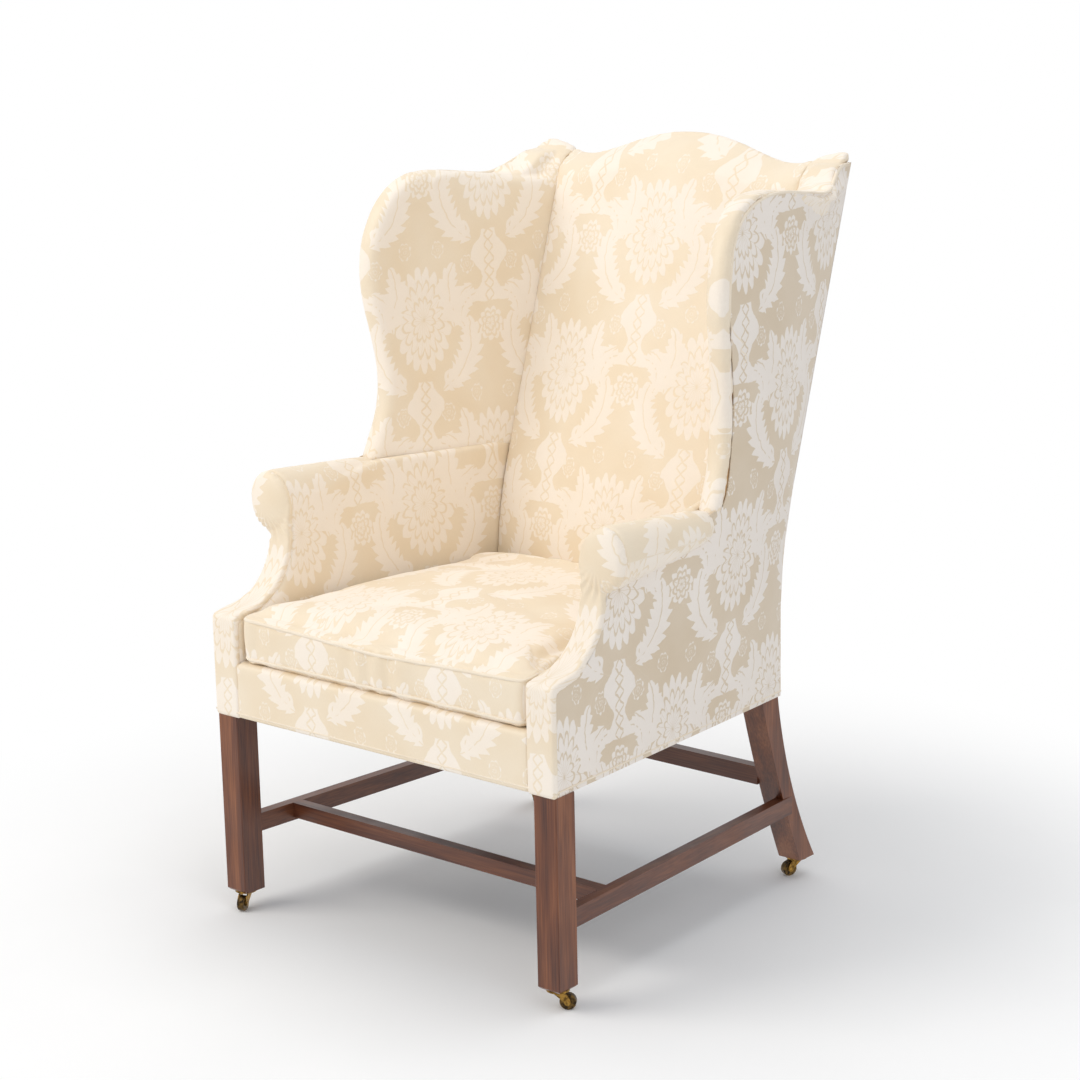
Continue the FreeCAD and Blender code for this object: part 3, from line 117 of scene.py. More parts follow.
# Threads and fibres, as coarse as they need to be to show
SLUB_WIDTH = 0.0011
SLUB_LENGTH = 0.0045
SILK_THREAD = 0.0009
COTTON_THREAD = 0.0016
JUTE_THREAD = 0.0024
MAHOGANY_FIBRE = 0.0022
BEECH_FIBRE = 0.003
FIBRE_LENGTH = 0.075
# The woven design's repeat across and along the cloth, and the places where panels centre it
REPEAT_WIDTH = 0.262
REPEAT_LENGTH = 0.470
BACK_CENTRE = (0.0, 0.93)
ARM_CENTRE = (0.02, 0.50)
WING_CENTRE = (0.085, 0.79)
FACING_CENTRE = (0.31, 0.40)
SIDE_CENTRE = (0.03, 0.50)
BORDER_CENTRE = (0.0, 0.62)
CUSHION_CENTRE = (0.0, -0.14)
BACK_RAKE = 1.05
WING_SLANT = (0.85, 0.80)    # shares of depth and of width that run across the slanted wing
SHARP_EDGE = 40
# The stage
FLOOR_SIZE = 9
FLOOR_SHIFT = 1.2
SHADOW_REACH = (0.55, 1.25)  # the floor fades to white between these distances from the chair
WORLD_LIGHT = 0.62
# The photograph's viewpoint
VIEW_TURN = 40.91
VIEW_RISE = 13.29
VIEW_ROLL = -1.24
VIEW_TARGET = (-0.0247, 0.014, 0.5545)
VIEW_DISTANCE = 4.0222
LENS = 86.92
SENSOR_WIDTH = 36


# Colours and materials

def linear(hex_colour):
    """sRGB hex to the linear colour that a shader reads."""
    parts = [int(hex_colour[i:i + 2], 16) / 255 for i in (1, 3, 5)]
    return [p / 12.92 if p <= 0.04045 else ((p + 0.055) / 1.055) ** 2.4 for p in parts] + [1.0]


def add(tree, kind, *inputs, out=0, **settings):
    """Adds a shader node, sets its settings, and fills or links its inputs, in order or as
    (name or number, value) pairs."""
    node = tree.nodes.new("ShaderNode" + kind)
    for name, value in settings.items():
        setattr(node, name, value)
    for number, value in enumerate(inputs):
        name, value = value if isinstance(value, tuple) and len(value) == 2 else (number, value)
        if isinstance(value, bpy.types.NodeSocket):
            tree.links.new(value, node.inputs[name])
        else:
            node.inputs[name].default_value = value
    return node.outputs[out]


def ramp(tree, factor, stops):
    """Colour ramp through (position, hex or grey value) stops."""
    out = add(tree, "ValToRGB", factor)
    elements = out.node.color_ramp.elements
    for number, (place, colour) in enumerate(stops):
        element = elements[number] if number < 2 else elements.new(place)
        element.position = place
        element.color = linear(colour) if isinstance(colour, str) else (colour, colour, colour, 1)
    return out


def material(name):
    made = bpy.data.materials.new(name)
    made.use_nodes = True
    made.node_tree.nodes.clear()
    return made, made.node_tree


def surface(tree, shader):
    out = tree.nodes.new("ShaderNodeOutputMaterial")
    tree.links.new(shader, out.inputs["Surface"])


# The woven figure: shapes are above 0 inside and below 0 outside, in units of the repeat's width

def polar(tree, x, y, centre, squeeze=1.0):
    """Distance and angle (0 straight up) about a centre, the height divided by squeeze."""
    dx = add(tree, "Math", x, centre[0], operation="SUBTRACT")
    dy = add(tree, "Math", y, centre[1], operation="SUBTRACT")
    dy = add(tree, "Math", dy, squeeze, operation="DIVIDE")
    square = add(tree, "Math", dy, dy, operation="MULTIPLY")
    length = add(tree, "Math", dx, dx, square, operation="MULTIPLY_ADD")
    return add(tree, "Math", length, operation="SQRT"), add(tree, "Math", dx, dy, operation="ARCTAN2")


def lobes(tree, angle, count, depth, radius):
    """Radius of a scalloped outline with a number of round lobes."""
    turn = add(tree, "Math", angle, count / 2, operation="MULTIPLY")
    wave = add(tree, "Math", add(tree, "Math", turn, operation="SINE"), operation="ABSOLUTE")
    return add(tree, "Math", wave, depth * radius, radius * (1 - depth / 2), operation="MULTIPLY_ADD")


def within(tree, distance, limit):
    return add(tree, "Math", limit, distance, operation="SUBTRACT")


def either(tree, *shapes):
    whole = shapes[0]
    for shape in shapes[1:]:
        whole = add(tree, "Math", whole, shape, operation="MAXIMUM")
    return whole


def line(tree, value, half):
    """A thin line where a value passes through 0, to be taken out of a shape."""
    size = add(tree, "Math", value, operation="ABSOLUTE")
    return add(tree, "Math", size, half, operation="SUBTRACT")


def both(tree, *shapes):
    whole = shapes[0]
    for shape in shapes[1:]:
        whole = add(tree, "Math", whole, shape, operation="MINIMUM")
    return whole


def bloom(tree, x, y, centre, radius, squeeze, count):
    """A full flower head: three rings of scalloped petals, each parted from the next by a line."""
    distance, angle = polar(tree, x, y, centre, squeeze)
    outer = within(tree, distance, lobes(tree, angle, count, 0.22, radius))
    cuts = []
    for share, petals, half in ((0.70, count - 3, 0.0075), (0.40, count - 6, 0.0065)):
        scallops = lobes(tree, angle, petals, 0.30, radius * share)
        ring = add(tree, "Math", distance, scallops, operation="SUBTRACT")
        cuts.append(line(tree, ring, half))
    turn = add(tree, "Math", angle, count / 2, operation="MULTIPLY")
    spoke = add(tree, "Math", add(tree, "Math", turn, operation="SINE"), distance, operation="MULTIPLY")
    ring_part = add(tree, "Math", distance, radius * 0.93, operation="SUBTRACT")
    cuts.append(either(tree, line(tree, spoke, 0.0064), ring_part))
    return both(tree, outer, *cuts)


def frond(tree, x, y, centre, radius, start, end, width, teeth):
    """A leaf that bends round a centre from one angle to another, with a toothed edge and a vein."""
    distance, angle = polar(tree, x, y, centre)
    share = add(tree, "MapRange", angle, start, end, 0.0, 1.0)
    arch = add(tree, "Math", add(tree, "Math", share, math.pi, operation="MULTIPLY"), operation="SINE")
    arch = add(tree, "Math", arch, 0.6, operation="POWER")
    tooth = add(tree, "Math", share, teeth, operation="MULTIPLY")
    tooth = add(tree, "Math", tooth, 1.0, operation="FRACT")
    tooth = add(tree, "Math", tooth, 0.45, 0.62, operation="MULTIPLY_ADD")
    half = add(tree, "Math", arch, tooth, operation="MULTIPLY")
    half = add(tree, "Math", half, width, operation="MULTIPLY")
    off = add(tree, "Math", distance, radius, operation="SUBTRACT")
    body = within(tree, add(tree, "Math", off, operation="ABSOLUTE"), half)
    return both(tree, body, line(tree, off, 0.0035))


def curl(tree, x, y, centre, radius):
    """The rolled tip of a scroll: a ring with a bead in it, open on one side."""
    distance, angle = polar(tree, x, y, centre)
    ring = add(tree, "Math", distance, radius, operation="SUBTRACT")
    ring = within(tree, add(tree, "Math", ring, operation="ABSOLUTE"), radius * 0.30)
    bead = within(tree, distance, radius * 0.38)
    return either(tree, ring, bead)


def vase(tree, x, y, low, high):
    """A latticed vase between the flowers, waisted, with a spreading foot and lip."""
    share = add(tree, "MapRange", y, low, high, 0.0, 1.0)
    swell = add(tree, "Math", add(tree, "Math", share, 9.5, operation="MULTIPLY"), operation="COSINE")
    half = add(tree, "Math", swell, 0.042, 0.092, operation="MULTIPLY_ADD")
    body = within(tree, x, half)
    inside = add(tree, "Math", y, low, operation="SUBTRACT")
    above = add(tree, "Math", high, y, operation="SUBTRACT")
    lattice = []
    for sign in (1, -1):
        slant = add(tree, "Math", x, sign * 42.0, operation="MULTIPLY")
        slant = add(tree, "Math", y, 42.0, slant, operation="MULTIPLY_ADD")
        lattice.append(line(tree, add(tree, "Math", slant, operation="SINE"), 0.30))
    net = add(tree, "Math", both(tree, *lattice), 0.03, operation="MULTIPLY")
    core = either(tree, net, add(tree, "Math", x, 0.035, operation="SUBTRACT"))
    return both(tree, body, inside, above, core)


def flowers(tree, x, y):
    """What stands on the middle line of a column, x from 0 there to 0.25."""
    return either(
        tree,
        bloom(tree, x, y, (0.0, 0.30), 0.190, 1.55, 19),
        bloom(tree, x, y, (0.0, -0.66), 0.085, 1.15, 11),
        vase(tree, x, y, -0.52, -0.08),
        curl(tree, x, y, (0.190, -0.07), 0.040),
        curl(tree, x, y, (0.175, -0.50), 0.034),
        bloom(tree, x, y, (0.165, -0.28), 0.045, 1.2, 9),
        bloom(tree, x, y, (0.120, 0.72), 0.040, 1.3, 8))


def leaves(tree, x, y):
    """The leaves that frame each flower and cross to the next column."""
    return either(
        tree,
        frond(tree, x, y, (0.02, 0.18), 0.330, 2.80, 1.20, 0.100, 9),
        frond(tree, x, y, (0.42, 0.30), 0.135, -2.6, 0.3, 0.055, 6),
        frond(tree, x, y, (0.02, -0.42), 0.290, 2.5, 1.0, 0.085, 8),
        frond(tree, x, y, (0.09, -0.60), 0.190, 0.2, 1.9, 0.050, 6))


def damask_figure():
    """Node group that draws the woven figure: UV in metres in, 1 on the figure and 0 on the ground out."""
    tree = bpy.data.node_groups.new("woven figure", "ShaderNodeTree")
    tree.interface.new_socket("UV", in_out="INPUT", socket_type="NodeSocketVector")
    tree.interface.new_socket("Figure", in_out="OUTPUT", socket_type="NodeSocketFloat")
    source = tree.nodes.new("NodeGroupInput").outputs[0]
    wobble = add(tree, "TexNoise", ("Vector", source), ("Scale", 55.0), ("Detail", 2.0), out=1)
    wobble = add(tree, "VectorMath", wobble, (0.5, 0.5, 0.5), operation="SUBTRACT")
    scaled = add(tree, "VectorMath", source, (1 / REPEAT_WIDTH,) * 3, operation="MULTIPLY")
    moved = add(tree, "VectorMath", wobble, (0.035, 0.035, 0.0), scaled, operation="MULTIPLY_ADD")
    split = add(tree, "SeparateXYZ", moved)
    across, along = split, split.node.outputs[1]
    ratio = REPEAT_LENGTH / REPEAT_WIDTH
    x = add(tree, "Math", add(tree, "Math", across, 0.5, -0.5, operation="WRAP"), operation="ABSOLUTE")
    y = add(tree, "Math", along, ratio / 2, -ratio / 2, operation="WRAP")
    opposite = within(tree, x, 0.5)
    dropped = add(tree, "Math", along, ratio / 2, operation="ADD")
    dropped = add(tree, "Math", dropped, ratio / 2, -ratio / 2, operation="WRAP")
    beyond = add(tree, "Math", x, 0.25, operation="GREATER_THAN")
    near_x = add(tree, "Math", x, opposite, operation="MINIMUM")
    near_y = add(tree, "Mix", beyond, (2, y), (3, dropped))
    shape = either(tree, flowers(tree, near_x, near_y), leaves(tree, x, y), leaves(tree, opposite, dropped))
    edge = add(tree, "MapRange", shape, -0.0035, 0.0035, 0.0, 1.0, interpolation_type="SMOOTHSTEP")
    out = tree.nodes.new("NodeGroupOutput")
    tree.links.new(edge, out.inputs[0])
    return tree


def silk_damask(name, group, ground, figure, ground_rough=0.42, figure_rough=0.62):
    """Silk and cotton damask: a glossy satin ground and a duller, paler figure in the same yarns."""
    made, tree = material(name)
    uv = add(tree, "UVMap", out=0, uv_map="cloth")
    call = tree.nodes.new("ShaderNodeGroup")
    call.node_tree = group
    tree.links.new(uv, call.inputs[0])
    figure_mask = call.outputs[0]
    shade = add(tree, "TexNoise", ("Vector", uv), ("Scale", 9.0), ("Detail", 3.0))
    worn = add(tree, "MapRange", shade, 0.35, 0.65, 0.0, 1.0)
    tones = [ramp(tree, worn, [(0.0, pair[0]), (1.0, pair[1])]) for pair in (ground, figure)]
    colour = add(tree, "Mix", (0, figure_mask), (6, tones[0]), (7, tones[1]), out=2, data_type="RGBA")
    thread = add(tree, "Mapping", uv, ("Scale", (1 / SLUB_WIDTH, 1 / SLUB_LENGTH, 1.0)))
    slub = add(tree, "TexNoise", ("Vector", thread), ("Scale", 1.0), ("Detail", 2.0))
    slub_soft = add(tree, "MapRange", slub, 0.3, 0.7, 0.0, 1.0)
    streaks = ramp(tree, slub_soft, [(0.0, "#c8b79f"), (1.0, "#ffffff")])
    colour = add(tree, "Mix", (0, 0.055), (6, colour), (7, streaks), out=2, data_type="RGBA",
                 blend_type="MULTIPLY")
    rough = add(tree, "MapRange", figure_mask, 0.0, 1.0, ground_rough, figure_rough)
    relief = add(tree, "Math", slub_soft, 0.35, figure_mask, operation="MULTIPLY_ADD")
    bump = add(tree, "Bump", ("Height", relief), ("Strength", 0.35), ("Distance", 0.00035))
    shader = tree.nodes.new("ShaderNodeBsdfPrincipled")
    tree.links.new(colour, shader.inputs["Base Color"])
    tree.links.new(rough, shader.inputs["Roughness"])
    tree.links.new(bump, shader.inputs["Normal"])
    shader.inputs["Specular IOR Level"].default_value = 0.38
    shader.inputs["Sheen Weight"].default_value = 0.10
    shader.inputs["Sheen Roughness"].default_value = 0.45
    surface(tree, shader.outputs[0])
    return made


def plain_cloth(name, colours, thread=COTTON_THREAD, rough=0.7, sheen=0.1):
    """Woven cloth without a figure: fine threads both ways and a slightly uneven dye."""
    made, tree = material(name)
    place = add(tree, "TexCoord", out=3)
    tone = add(tree, "TexNoise", ("Vector", place), ("Scale", 22.0), ("Detail", 3.0))
    waves = []
    for direction in ("X", "Y", "Z"):
        waves.append(add(tree, "TexWave", ("Vector", place), ("Scale", 0.314 / thread), ("Distortion", 0.8),
                         out=1, bands_direction=direction))
    weave = add(tree, "Math", waves[0], waves[1], operation="MULTIPLY")
    weave = add(tree, "Math", weave, waves[2], operation="ADD")
    shader = tree.nodes.new("ShaderNodeBsdfPrincipled")
    tree.links.new(ramp(tree, tone, [(0.35, colours[0]), (0.65, colours[1])]), shader.inputs["Base Color"])
    bump = add(tree, "Bump", ("Height", weave), ("Strength", 0.25), ("Distance", 0.0003))
    tree.links.new(bump, shader.inputs["Normal"])
    shader.inputs["Roughness"].default_value = rough
    shader.inputs["Sheen Weight"].default_value = sheen
    surface(tree, shader.outputs[0])
    return made


def polished_wood(name, colours, axis, gloss, fibre=MAHOGANY_FIBRE):
    """Planed and polished hardwood: fibres and pores drawn out along the length of the board."""
    made, tree = material(name)
    place = add(tree, "TexCoord", out=3)
    stretch = [1 / fibre] * 3
    stretch[axis] = 1 / FIBRE_LENGTH
    fibres = add(tree, "Mapping", place, ("Scale", stretch))
    grain = add(tree, "TexNoise", ("Vector", fibres), ("Scale", 1.0), ("Detail", 4.0), ("Distortion", 0.4))
    broad = [26.0] * 3
    broad[axis] = 3.0
    broad_place = add(tree, "Mapping", place, ("Scale", broad))
    figure = add(tree, "TexNoise", ("Vector", broad_place), ("Scale", 1.0), ("Detail", 3.0),
                 ("Distortion", 0.8))
    mixed = add(tree, "Math", figure, 0.60, operation="MULTIPLY")
    mixed = add(tree, "Math", grain, 0.40, mixed, operation="MULTIPLY_ADD")
    colour = ramp(tree, mixed, [(0.34, colours[0]), (0.66, colours[2]), (0.50, colours[1])])
    worn = add(tree, "TexNoise", ("Vector", place), ("Scale", 14.0), ("Detail", 3.0))
    rough = add(tree, "MapRange", worn, 0.3, 0.7, gloss[0], gloss[1])
    bump = add(tree, "Bump", ("Height", grain), ("Strength", 0.18), ("Distance", 0.0004))
    shader = tree.nodes.new("ShaderNodeBsdfPrincipled")
    tree.links.new(colour, shader.inputs["Base Color"])
    tree.links.new(rough, shader.inputs["Roughness"])
    tree.links.new(bump, shader.inputs["Normal"])
    shader.inputs["Coat Weight"].default_value = 0.12
    shader.inputs["Coat Roughness"].default_value = 0.3
    surface(tree, shader.outputs[0])
    return made


def aged_metal(name, colours, rough):
    """Cast and turned metal, dulled by handling and darker where dirt has stayed."""
    made, tree = material(name)
    place = add(tree, "TexCoord", out=3)
    stain = add(tree, "TexNoise", ("Vector", place), ("Scale", 190.0), ("Detail", 4.0))
    fine = add(tree, "TexNoise", ("Vector", place), ("Scale", 900.0), ("Detail", 2.0))
    shader = tree.nodes.new("ShaderNodeBsdfPrincipled")
    tree.links.new(ramp(tree, stain, [(0.38, colours[0]), (0.62, colours[1])]), shader.inputs["Base Color"])
    tree.links.new(add(tree, "MapRange", stain, 0.3, 0.7, rough[0], rough[1]), shader.inputs["Roughness"])
    bump = add(tree, "Bump", ("Height", fine), ("Strength", 0.2), ("Distance", 0.0002))
    tree.links.new(bump, shader.inputs["Normal"])
    shader.inputs["Metallic"].default_value = 1.0
    surface(tree, shader.outputs[0])
    return made


# Mesh helpers

def pick(piece):
    bpy.ops.object.select_all(action="DESELECT")
    piece.select_set(True)
    bpy.context.view_layer.objects.active = piece


def apply(piece, kind, **settings):
    """Adds a modifier, sets it up and applies it."""
    pick(piece)
    added = piece.modifiers.new(kind.lower(), kind)
    for name, value in settings.items():
        setattr(added, name, value)
    bpy.ops.object.modifier_apply(modifier=added.name)


def places_of(piece):
    flat = np.empty(len(piece.data.vertices) * 3)
    piece.data.vertices.foreach_get("co", flat)
    return flat.reshape(-1, 3)


def set_places(piece, places):
    piece.data.vertices.foreach_set("co", np.asarray(places, dtype=np.float32).ravel())
    piece.data.update()


def normals_of(piece):
    return np.array([v.normal[:] for v in piece.data.vertices])


def copy_of(node, name):
    """A copy of a solid's mesh as a new piece, its loose triangles merged."""
    mesh = NODES[node].data.copy()
    mesh.materials.clear()
    piece = bpy.data.objects.new(name, mesh)
    bpy.context.scene.collection.objects.link(piece)
    pick(piece)
    bpy.ops.object.mode_set(mode="EDIT")
    bpy.ops.mesh.select_all(action="SELECT")
    bpy.ops.mesh.remove_doubles(threshold=SAME_PLACE)
    bpy.ops.mesh.normals_make_consistent(inside=False)
    bpy.ops.object.mode_set(mode="OBJECT")
    return piece


def stuff(piece, pressure, limit):
    """Swells the piece as a stuffed cover by a short cloth simulation, each point held to a limit."""
    before = places_of(piece)
    normals = normals_of(piece)
    pick(piece)
    cloth = piece.modifiers.new("stuffing", "CLOTH")
    cloth.settings.use_pressure = True
    cloth.settings.uniform_pressure_force = pressure
    cloth.settings.effector_weights.gravity = 0
    cloth.settings.quality = 4
    cloth.point_cache.frame_start = 1
    cloth.point_cache.frame_end = STUFFING_FRAMES
    for number in range(1, STUFFING_FRAMES + 1):
        bpy.context.scene.frame_set(number)
    bpy.ops.object.modifier_apply(modifier=cloth.name)
    bpy.context.scene.frame_set(1)
    moved = places_of(piece) - before
    sunk = np.minimum(np.einsum("ij,ij->i", moved, normals) + SINK_LIMIT, 0)
    moved -= normals * sunk[:, None]
    length = np.linalg.norm(moved, axis=1, keepdims=True)
    held = np.where(length > limit, moved * limit / np.maximum(length, 1e-9), moved)
    set_places(piece, before + held)


def soft_copy(node, name, voxel, relax, pressure=0.0, limit=0.0, start=0.0, proud=0.0, wad=None):
    """An upholstered piece from its solid: remeshed evenly, smoothed, drawn in by start, stuffed
    and let out by proud."""
    piece = copy_of(node, name)
    if wad:
        wad(piece)
    apply(piece, "REMESH", mode="VOXEL", voxel_size=voxel)
    apply(piece, "SMOOTH", factor=0.5, iterations=relax)
    if pressure:
        set_places(piece, places_of(piece) - normals_of(piece) * start)
        stuff(piece, pressure, limit)
        apply(piece, "SMOOTH", factor=0.5, iterations=2)
    if proud:
        set_places(piece, places_of(piece) + normals_of(piece) * proud)
    return piece


def unwrap(piece, rule):
    """Cloth coordinates in metres, from a rule that turns places and face normals into (u, v)."""
    mesh = piece.data
    layer = mesh.uv_layers.new(name="cloth")
    count = len(mesh.loops)
    corner_vertex = np.empty(count, dtype=np.int64)
    mesh.loops.foreach_get("vertex_index", corner_vertex)
    totals = np.array([p.loop_total for p in mesh.polygons])
    face_of_corner = np.repeat(np.arange(len(totals)), totals)
    face_normals = np.array([p.normal[:] for p in mesh.polygons])[face_of_corner]
    places = places_of(piece)[corner_vertex]
    pairs = np.stack(rule(places, face_normals), axis=1)
    layer.data.foreach_set("uv", pairs.astype(np.float32).ravel())


def finish(piece, finish_material, body, replaced=(), angle=None):
    piece.data.materials.clear()
    piece.data.materials.append(finish_material)
    pick(piece)
    if angle is None:
        bpy.ops.object.shade_smooth()
    else:
        bpy.ops.object.shade_smooth_by_angle(angle=math.radians(angle))
    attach(piece, body)
    if replaced:
        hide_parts(*replaced)
    return piece


def cord_along(name, points, radius, closed_ring=False, sides=3):
    """A covered cord or welt: a round tube along points, made a mesh."""
    curve = bpy.data.curves.new(name, "CURVE")
    curve.dimensions = "3D"
    curve.bevel_depth = radius
    curve.bevel_resolution = sides
    curve.use_fill_caps = not closed_ring
    spline = curve.splines.new("POLY")
    spline.points.add(len(points) - 1)
    for point, place in zip(spline.points, points):
        point.co = (*place, 1.0)
    spline.use_cyclic_u = closed_ring
    holder = bpy.data.objects.new(name + "_line", curve)
    bpy.context.scene.collection.objects.link(holder)
    pick(holder)
    bpy.ops.object.convert(target="MESH")
    made = bpy.context.view_layer.objects.active
    made.name = name
    return made


def laid_on(piece, points, proud):
    """The points moved to the nearest place on a piece's surface, then out by proud."""
    tree = BVHTree.FromObject(piece, bpy.context.evaluated_depsgraph_get())
    out = []
    for point in points:
        place, normal, _, _ = tree.find_nearest(Vector(point))
        out.append(tuple(place + normal * proud))
    return out


def rim_line(piece, side, centre, start, end, count):
    """Points round the outermost rim of a side panel, seen from the side: at each angle about a
    centre (y, z) the furthest place, evened out along the line. 0 degrees looks to the front."""
    places = places_of(piece)[normals_of(piece)[:, 0] * side > 0]
    dy = centre[0] - places[:, 1]
    dz = places[:, 2] - centre[1]
    angles = np.degrees(np.arctan2(dz, dy))
    reach = np.hypot(dy, dz)
    half = (end - start) / count
    line = []
    for angle in np.linspace(start, end, count):
        near = np.abs(angles - angle) < half
        if near.any():
            rows = np.flatnonzero(near)
            line.append(places[rows[np.argmax(reach[rows])]])
    line = np.array(line)
    for _ in range(RIM_EASING):
        line[1:-1] = (line[:-2] + 2 * line[1:-1] + line[2:]) / 4
    return line


# Finishes

FIGURE = damask_figure()
# Silk and cotton damask: the satin ground shines softly, the figure is paler and duller. One cloth in two
# copies: the inner covers take a pale ground under a faint figure, painted light where they face the lamps,
# and the outer covers a darker ground under a stronger figure, painted shade on the sides turned away
silk = silk_damask("silk damask, inner covers, painted light", FIGURE, ("#efddc1", "#f2e3cb"), ("#f8ecdc", "#faf0e3"))
shaded_outer_silk = silk_damask("silk damask, outer covers, painted shade", FIGURE, ("#dac8ae", "#dfcfb8"),
                         ("#f2e9df", "#f5ede4"))
# Silk cut across the thread: close and even, a little brighter than the covers
welt_silk = plain_cloth("silk welt cut on the bias", ("#efe0c9", "#f3e6d2"), SILK_THREAD, 0.55, 0.15)
# Cotton, dyed canvas and jute: dull, with a weave that shows more the thicker the thread is
lining = plain_cloth("plain cotton platform cloth", ("#dccbb0", "#e3d5bd"))
canvas = plain_cloth("black bottoming cloth", ("#1e1b18", "#2a2622"))
webs = plain_cloth("jute webbing", ("#9c7f55", "#b0926a"), JUTE_THREAD, 0.85)
# Mahogany under old polish: warm brown, with long dark pores and a soft gloss. The bars, low down under the
# seat, take darker tones than the legs: painted shade
SHADED_BAR_TONES = ("#35160a", "#572b17", "#754326")
mahogany_up = polished_wood("mahogany, legs", ("#431c0b", "#6b391d", "#8c5531"), 2, (0.34, 0.50))
mahogany_across_shaded = polished_wood("mahogany, cross bars, painted shade", SHADED_BAR_TONES, 0, (0.32, 0.48))
mahogany_deep_shaded = polished_wood("mahogany, side bars, painted shade", SHADED_BAR_TONES, 1, (0.32, 0.48))
# Beech, planed and bare: pale and dull
beech = polished_wood("beech frame", ("#b58a5c", "#c89f6f", "#d8b587"), 2, (0.55, 0.7), BEECH_FIBRE)
# Cast brass, browned by age, with brighter worn places
brass = aged_metal("aged cast brass", ("#5b4420", "#a98443"), (0.32, 0.55))
wheel_metal = aged_metal("dark brass wheel", ("#2c241c", "#6d5632"), (0.35, 0.6))


# Cloth coordinates of the pieces

def side_panel(side, u0, v0):
    return lambda p, n: (side * (p[:, 1] - u0), p[:, 2] - v0)


def inner_wing(side, u0, v0):
    """Across the slanted inner face of a wing and on round its rolled front, upright."""
    deep, wide = WING_SLANT
    return lambda p, n: (side * (deep * (p[:, 1] - u0) - wide * np.abs(p[:, 0])), p[:, 2] - v0)


def back_panel(u0, v0):
    return lambda p, n: (p[:, 0] - u0, (p[:, 2] - v0) * BACK_RAKE)


def arm_panel(side, u0, v0):
    """Up the inner face of an arm, then round over the roll."""
    def rule(p, n):
        rise = p[:, 2] - SCROLL_HEIGHT
        out = np.abs(p[:, 0]) - SCROLL_ACROSS
        round_over = np.arctan2(rise, -out) * SCROLL_RADIUS
        v = np.where(rise > 0, SCROLL_HEIGHT + round_over, p[:, 2])
        return side * (p[:, 1] - u0), v - v0
    return rule


def front_panel(u0, v0):
    return lambda p, n: (p[:, 0] - u0, p[:, 2] - v0)


def cushion_panel(u0, v0):
    """Flat on top, and on down over the boxing at the front and the sides."""
    def rule(p, n):
        drop = CUSHION_SEAM_TOP - p[:, 2]
        upright = np.abs(n[:, 2]) < 0.6
        front = upright & (np.abs(n[:, 1]) > np.abs(n[:, 0]))
        sides = upright & ~front
        u = np.where(sides, p[:, 1], p[:, 0])
        v = np.where(upright, -drop - BOXING_OFFSET, p[:, 1])
        return u - u0, v - v0
    return rule


# Upholstery

SIDES = ((-1, "left"), (1, "right"))


def inside_back():
    piece = soft_copy("inside_back", "inside_back_cover", VOXEL, 2, proud=BACK_PROUD)
    apply(piece, "SUBSURF", levels=1, render_levels=1)
    unwrap(piece, back_panel(*BACK_CENTRE))
    finish(piece, silk, "root", ("inside_back",))


def settle(piece):
    """Lets the lower end of a wing's cover down onto the arm."""
    places = places_of(piece)
    share = np.clip((WING_SEAT + WING_SETTLE_REACH - places[:, 2]) / WING_SETTLE_REACH, 0, 1)
    places[:, 2] -= WING_SETTLE * share ** 2
    set_places(piece, places)


def inner_face(tree, side, depth, height, otherwise):
    """Half width of an outer cover's inner face at a depth and height."""
    found = tree.ray_cast(Vector((side * EAR_SOUNDING, depth, height)), Vector((side, 0, 0)))[0]
    return (abs(found.x) if found else otherwise) - EAR_INSET


def top_wad(piece, cover, side):
    """Joins a wad along a wing's top rail, from its inner face to the rim of its outer cover, so that
    the top of the inner cover is full as it climbs to the ear."""
    rim = places_of(cover)
    tree = BVHTree.FromObject(cover, bpy.context.evaluated_depsgraph_get())
    wad = bmesh.new()
    rings = []
    for depth in np.arange(*EAR_DEPTHS, RIM_STEP):
        edge = rim[np.abs(rim[:, 1] - depth) < RIM_STEP]
        edge = edge[np.argmax(edge[:, 2])]
        inner = np.interp(depth, (EAR_DEPTHS[0], EAR_MIDDLE, EAR_DEPTHS[1]), EAR_INNER)
        top = edge[2] - RIM_LAP
        low = top - EAR_FILL
        outer = inner_face(tree, side, depth, top - EAR_DROP, abs(edge[0]))
        outer_low = inner_face(tree, side, depth, low, abs(edge[0]))
        corners = ((outer, top), (inner, top - RIM_LAP), (inner, low), (outer_low, low))
        rings.append([wad.verts.new((side * across, depth, height)) for across, height in corners])
    for here, there in zip(rings, rings[1:]):
        for number in range(len(here)):
            beside = (number + 1) % len(here)
            wad.faces.new((here[number], here[beside], there[beside], there[number]))
    wad.faces.new(rings[0])
    wad.faces.new(rings[-1])
    bmesh.ops.recalc_face_normals(wad, faces=wad.faces)
    filler = bpy.data.objects.new("wad", bpy.data.meshes.new("wad"))
    wad.to_mesh(filler.data)
    wad.free()
    bpy.context.scene.collection.objects.link(filler)
    pick(piece)
    filler.select_set(True)
    bpy.ops.object.join()


def fill_scroll(piece, side):
    """Domes the front of the arm scroll, which is packed full."""
    places = places_of(piece)
    across = (places[:, 0] - side * SCROLL_ACROSS) / SCROLL_RADIUS
    up = (places[:, 2] - SCROLL_HEIGHT) / (SCROLL_RADIUS * SCROLL_RISE)
    share = np.clip(1 - across ** 2 - up ** 2, 0, 1)
    facing_front = np.clip(-normals_of(piece)[:, 1], 0, 1)
    places[:, 1] -= SCROLL_DOME * share * facing_front
    set_places(piece, places)


def gathers(piece, side):
    """Fine pleats that fan out below the arm scroll, where the facing is drawn in."""
    places = places_of(piece)
    angle = np.arctan2(places[:, 0] - side * SCROLL_ACROSS, places[:, 2] - SCROLL_HEIGHT)
    fall = np.exp(-((places[:, 2] - ARM_NECK_HEIGHT - PLEAT_RISE) / PLEAT_REACH) ** 2)
    depth = PLEAT_DEPTH * np.sin(angle * PLEAT_COUNT) * fall
    set_places(piece, places + normals_of(piece) * depth[:, None])


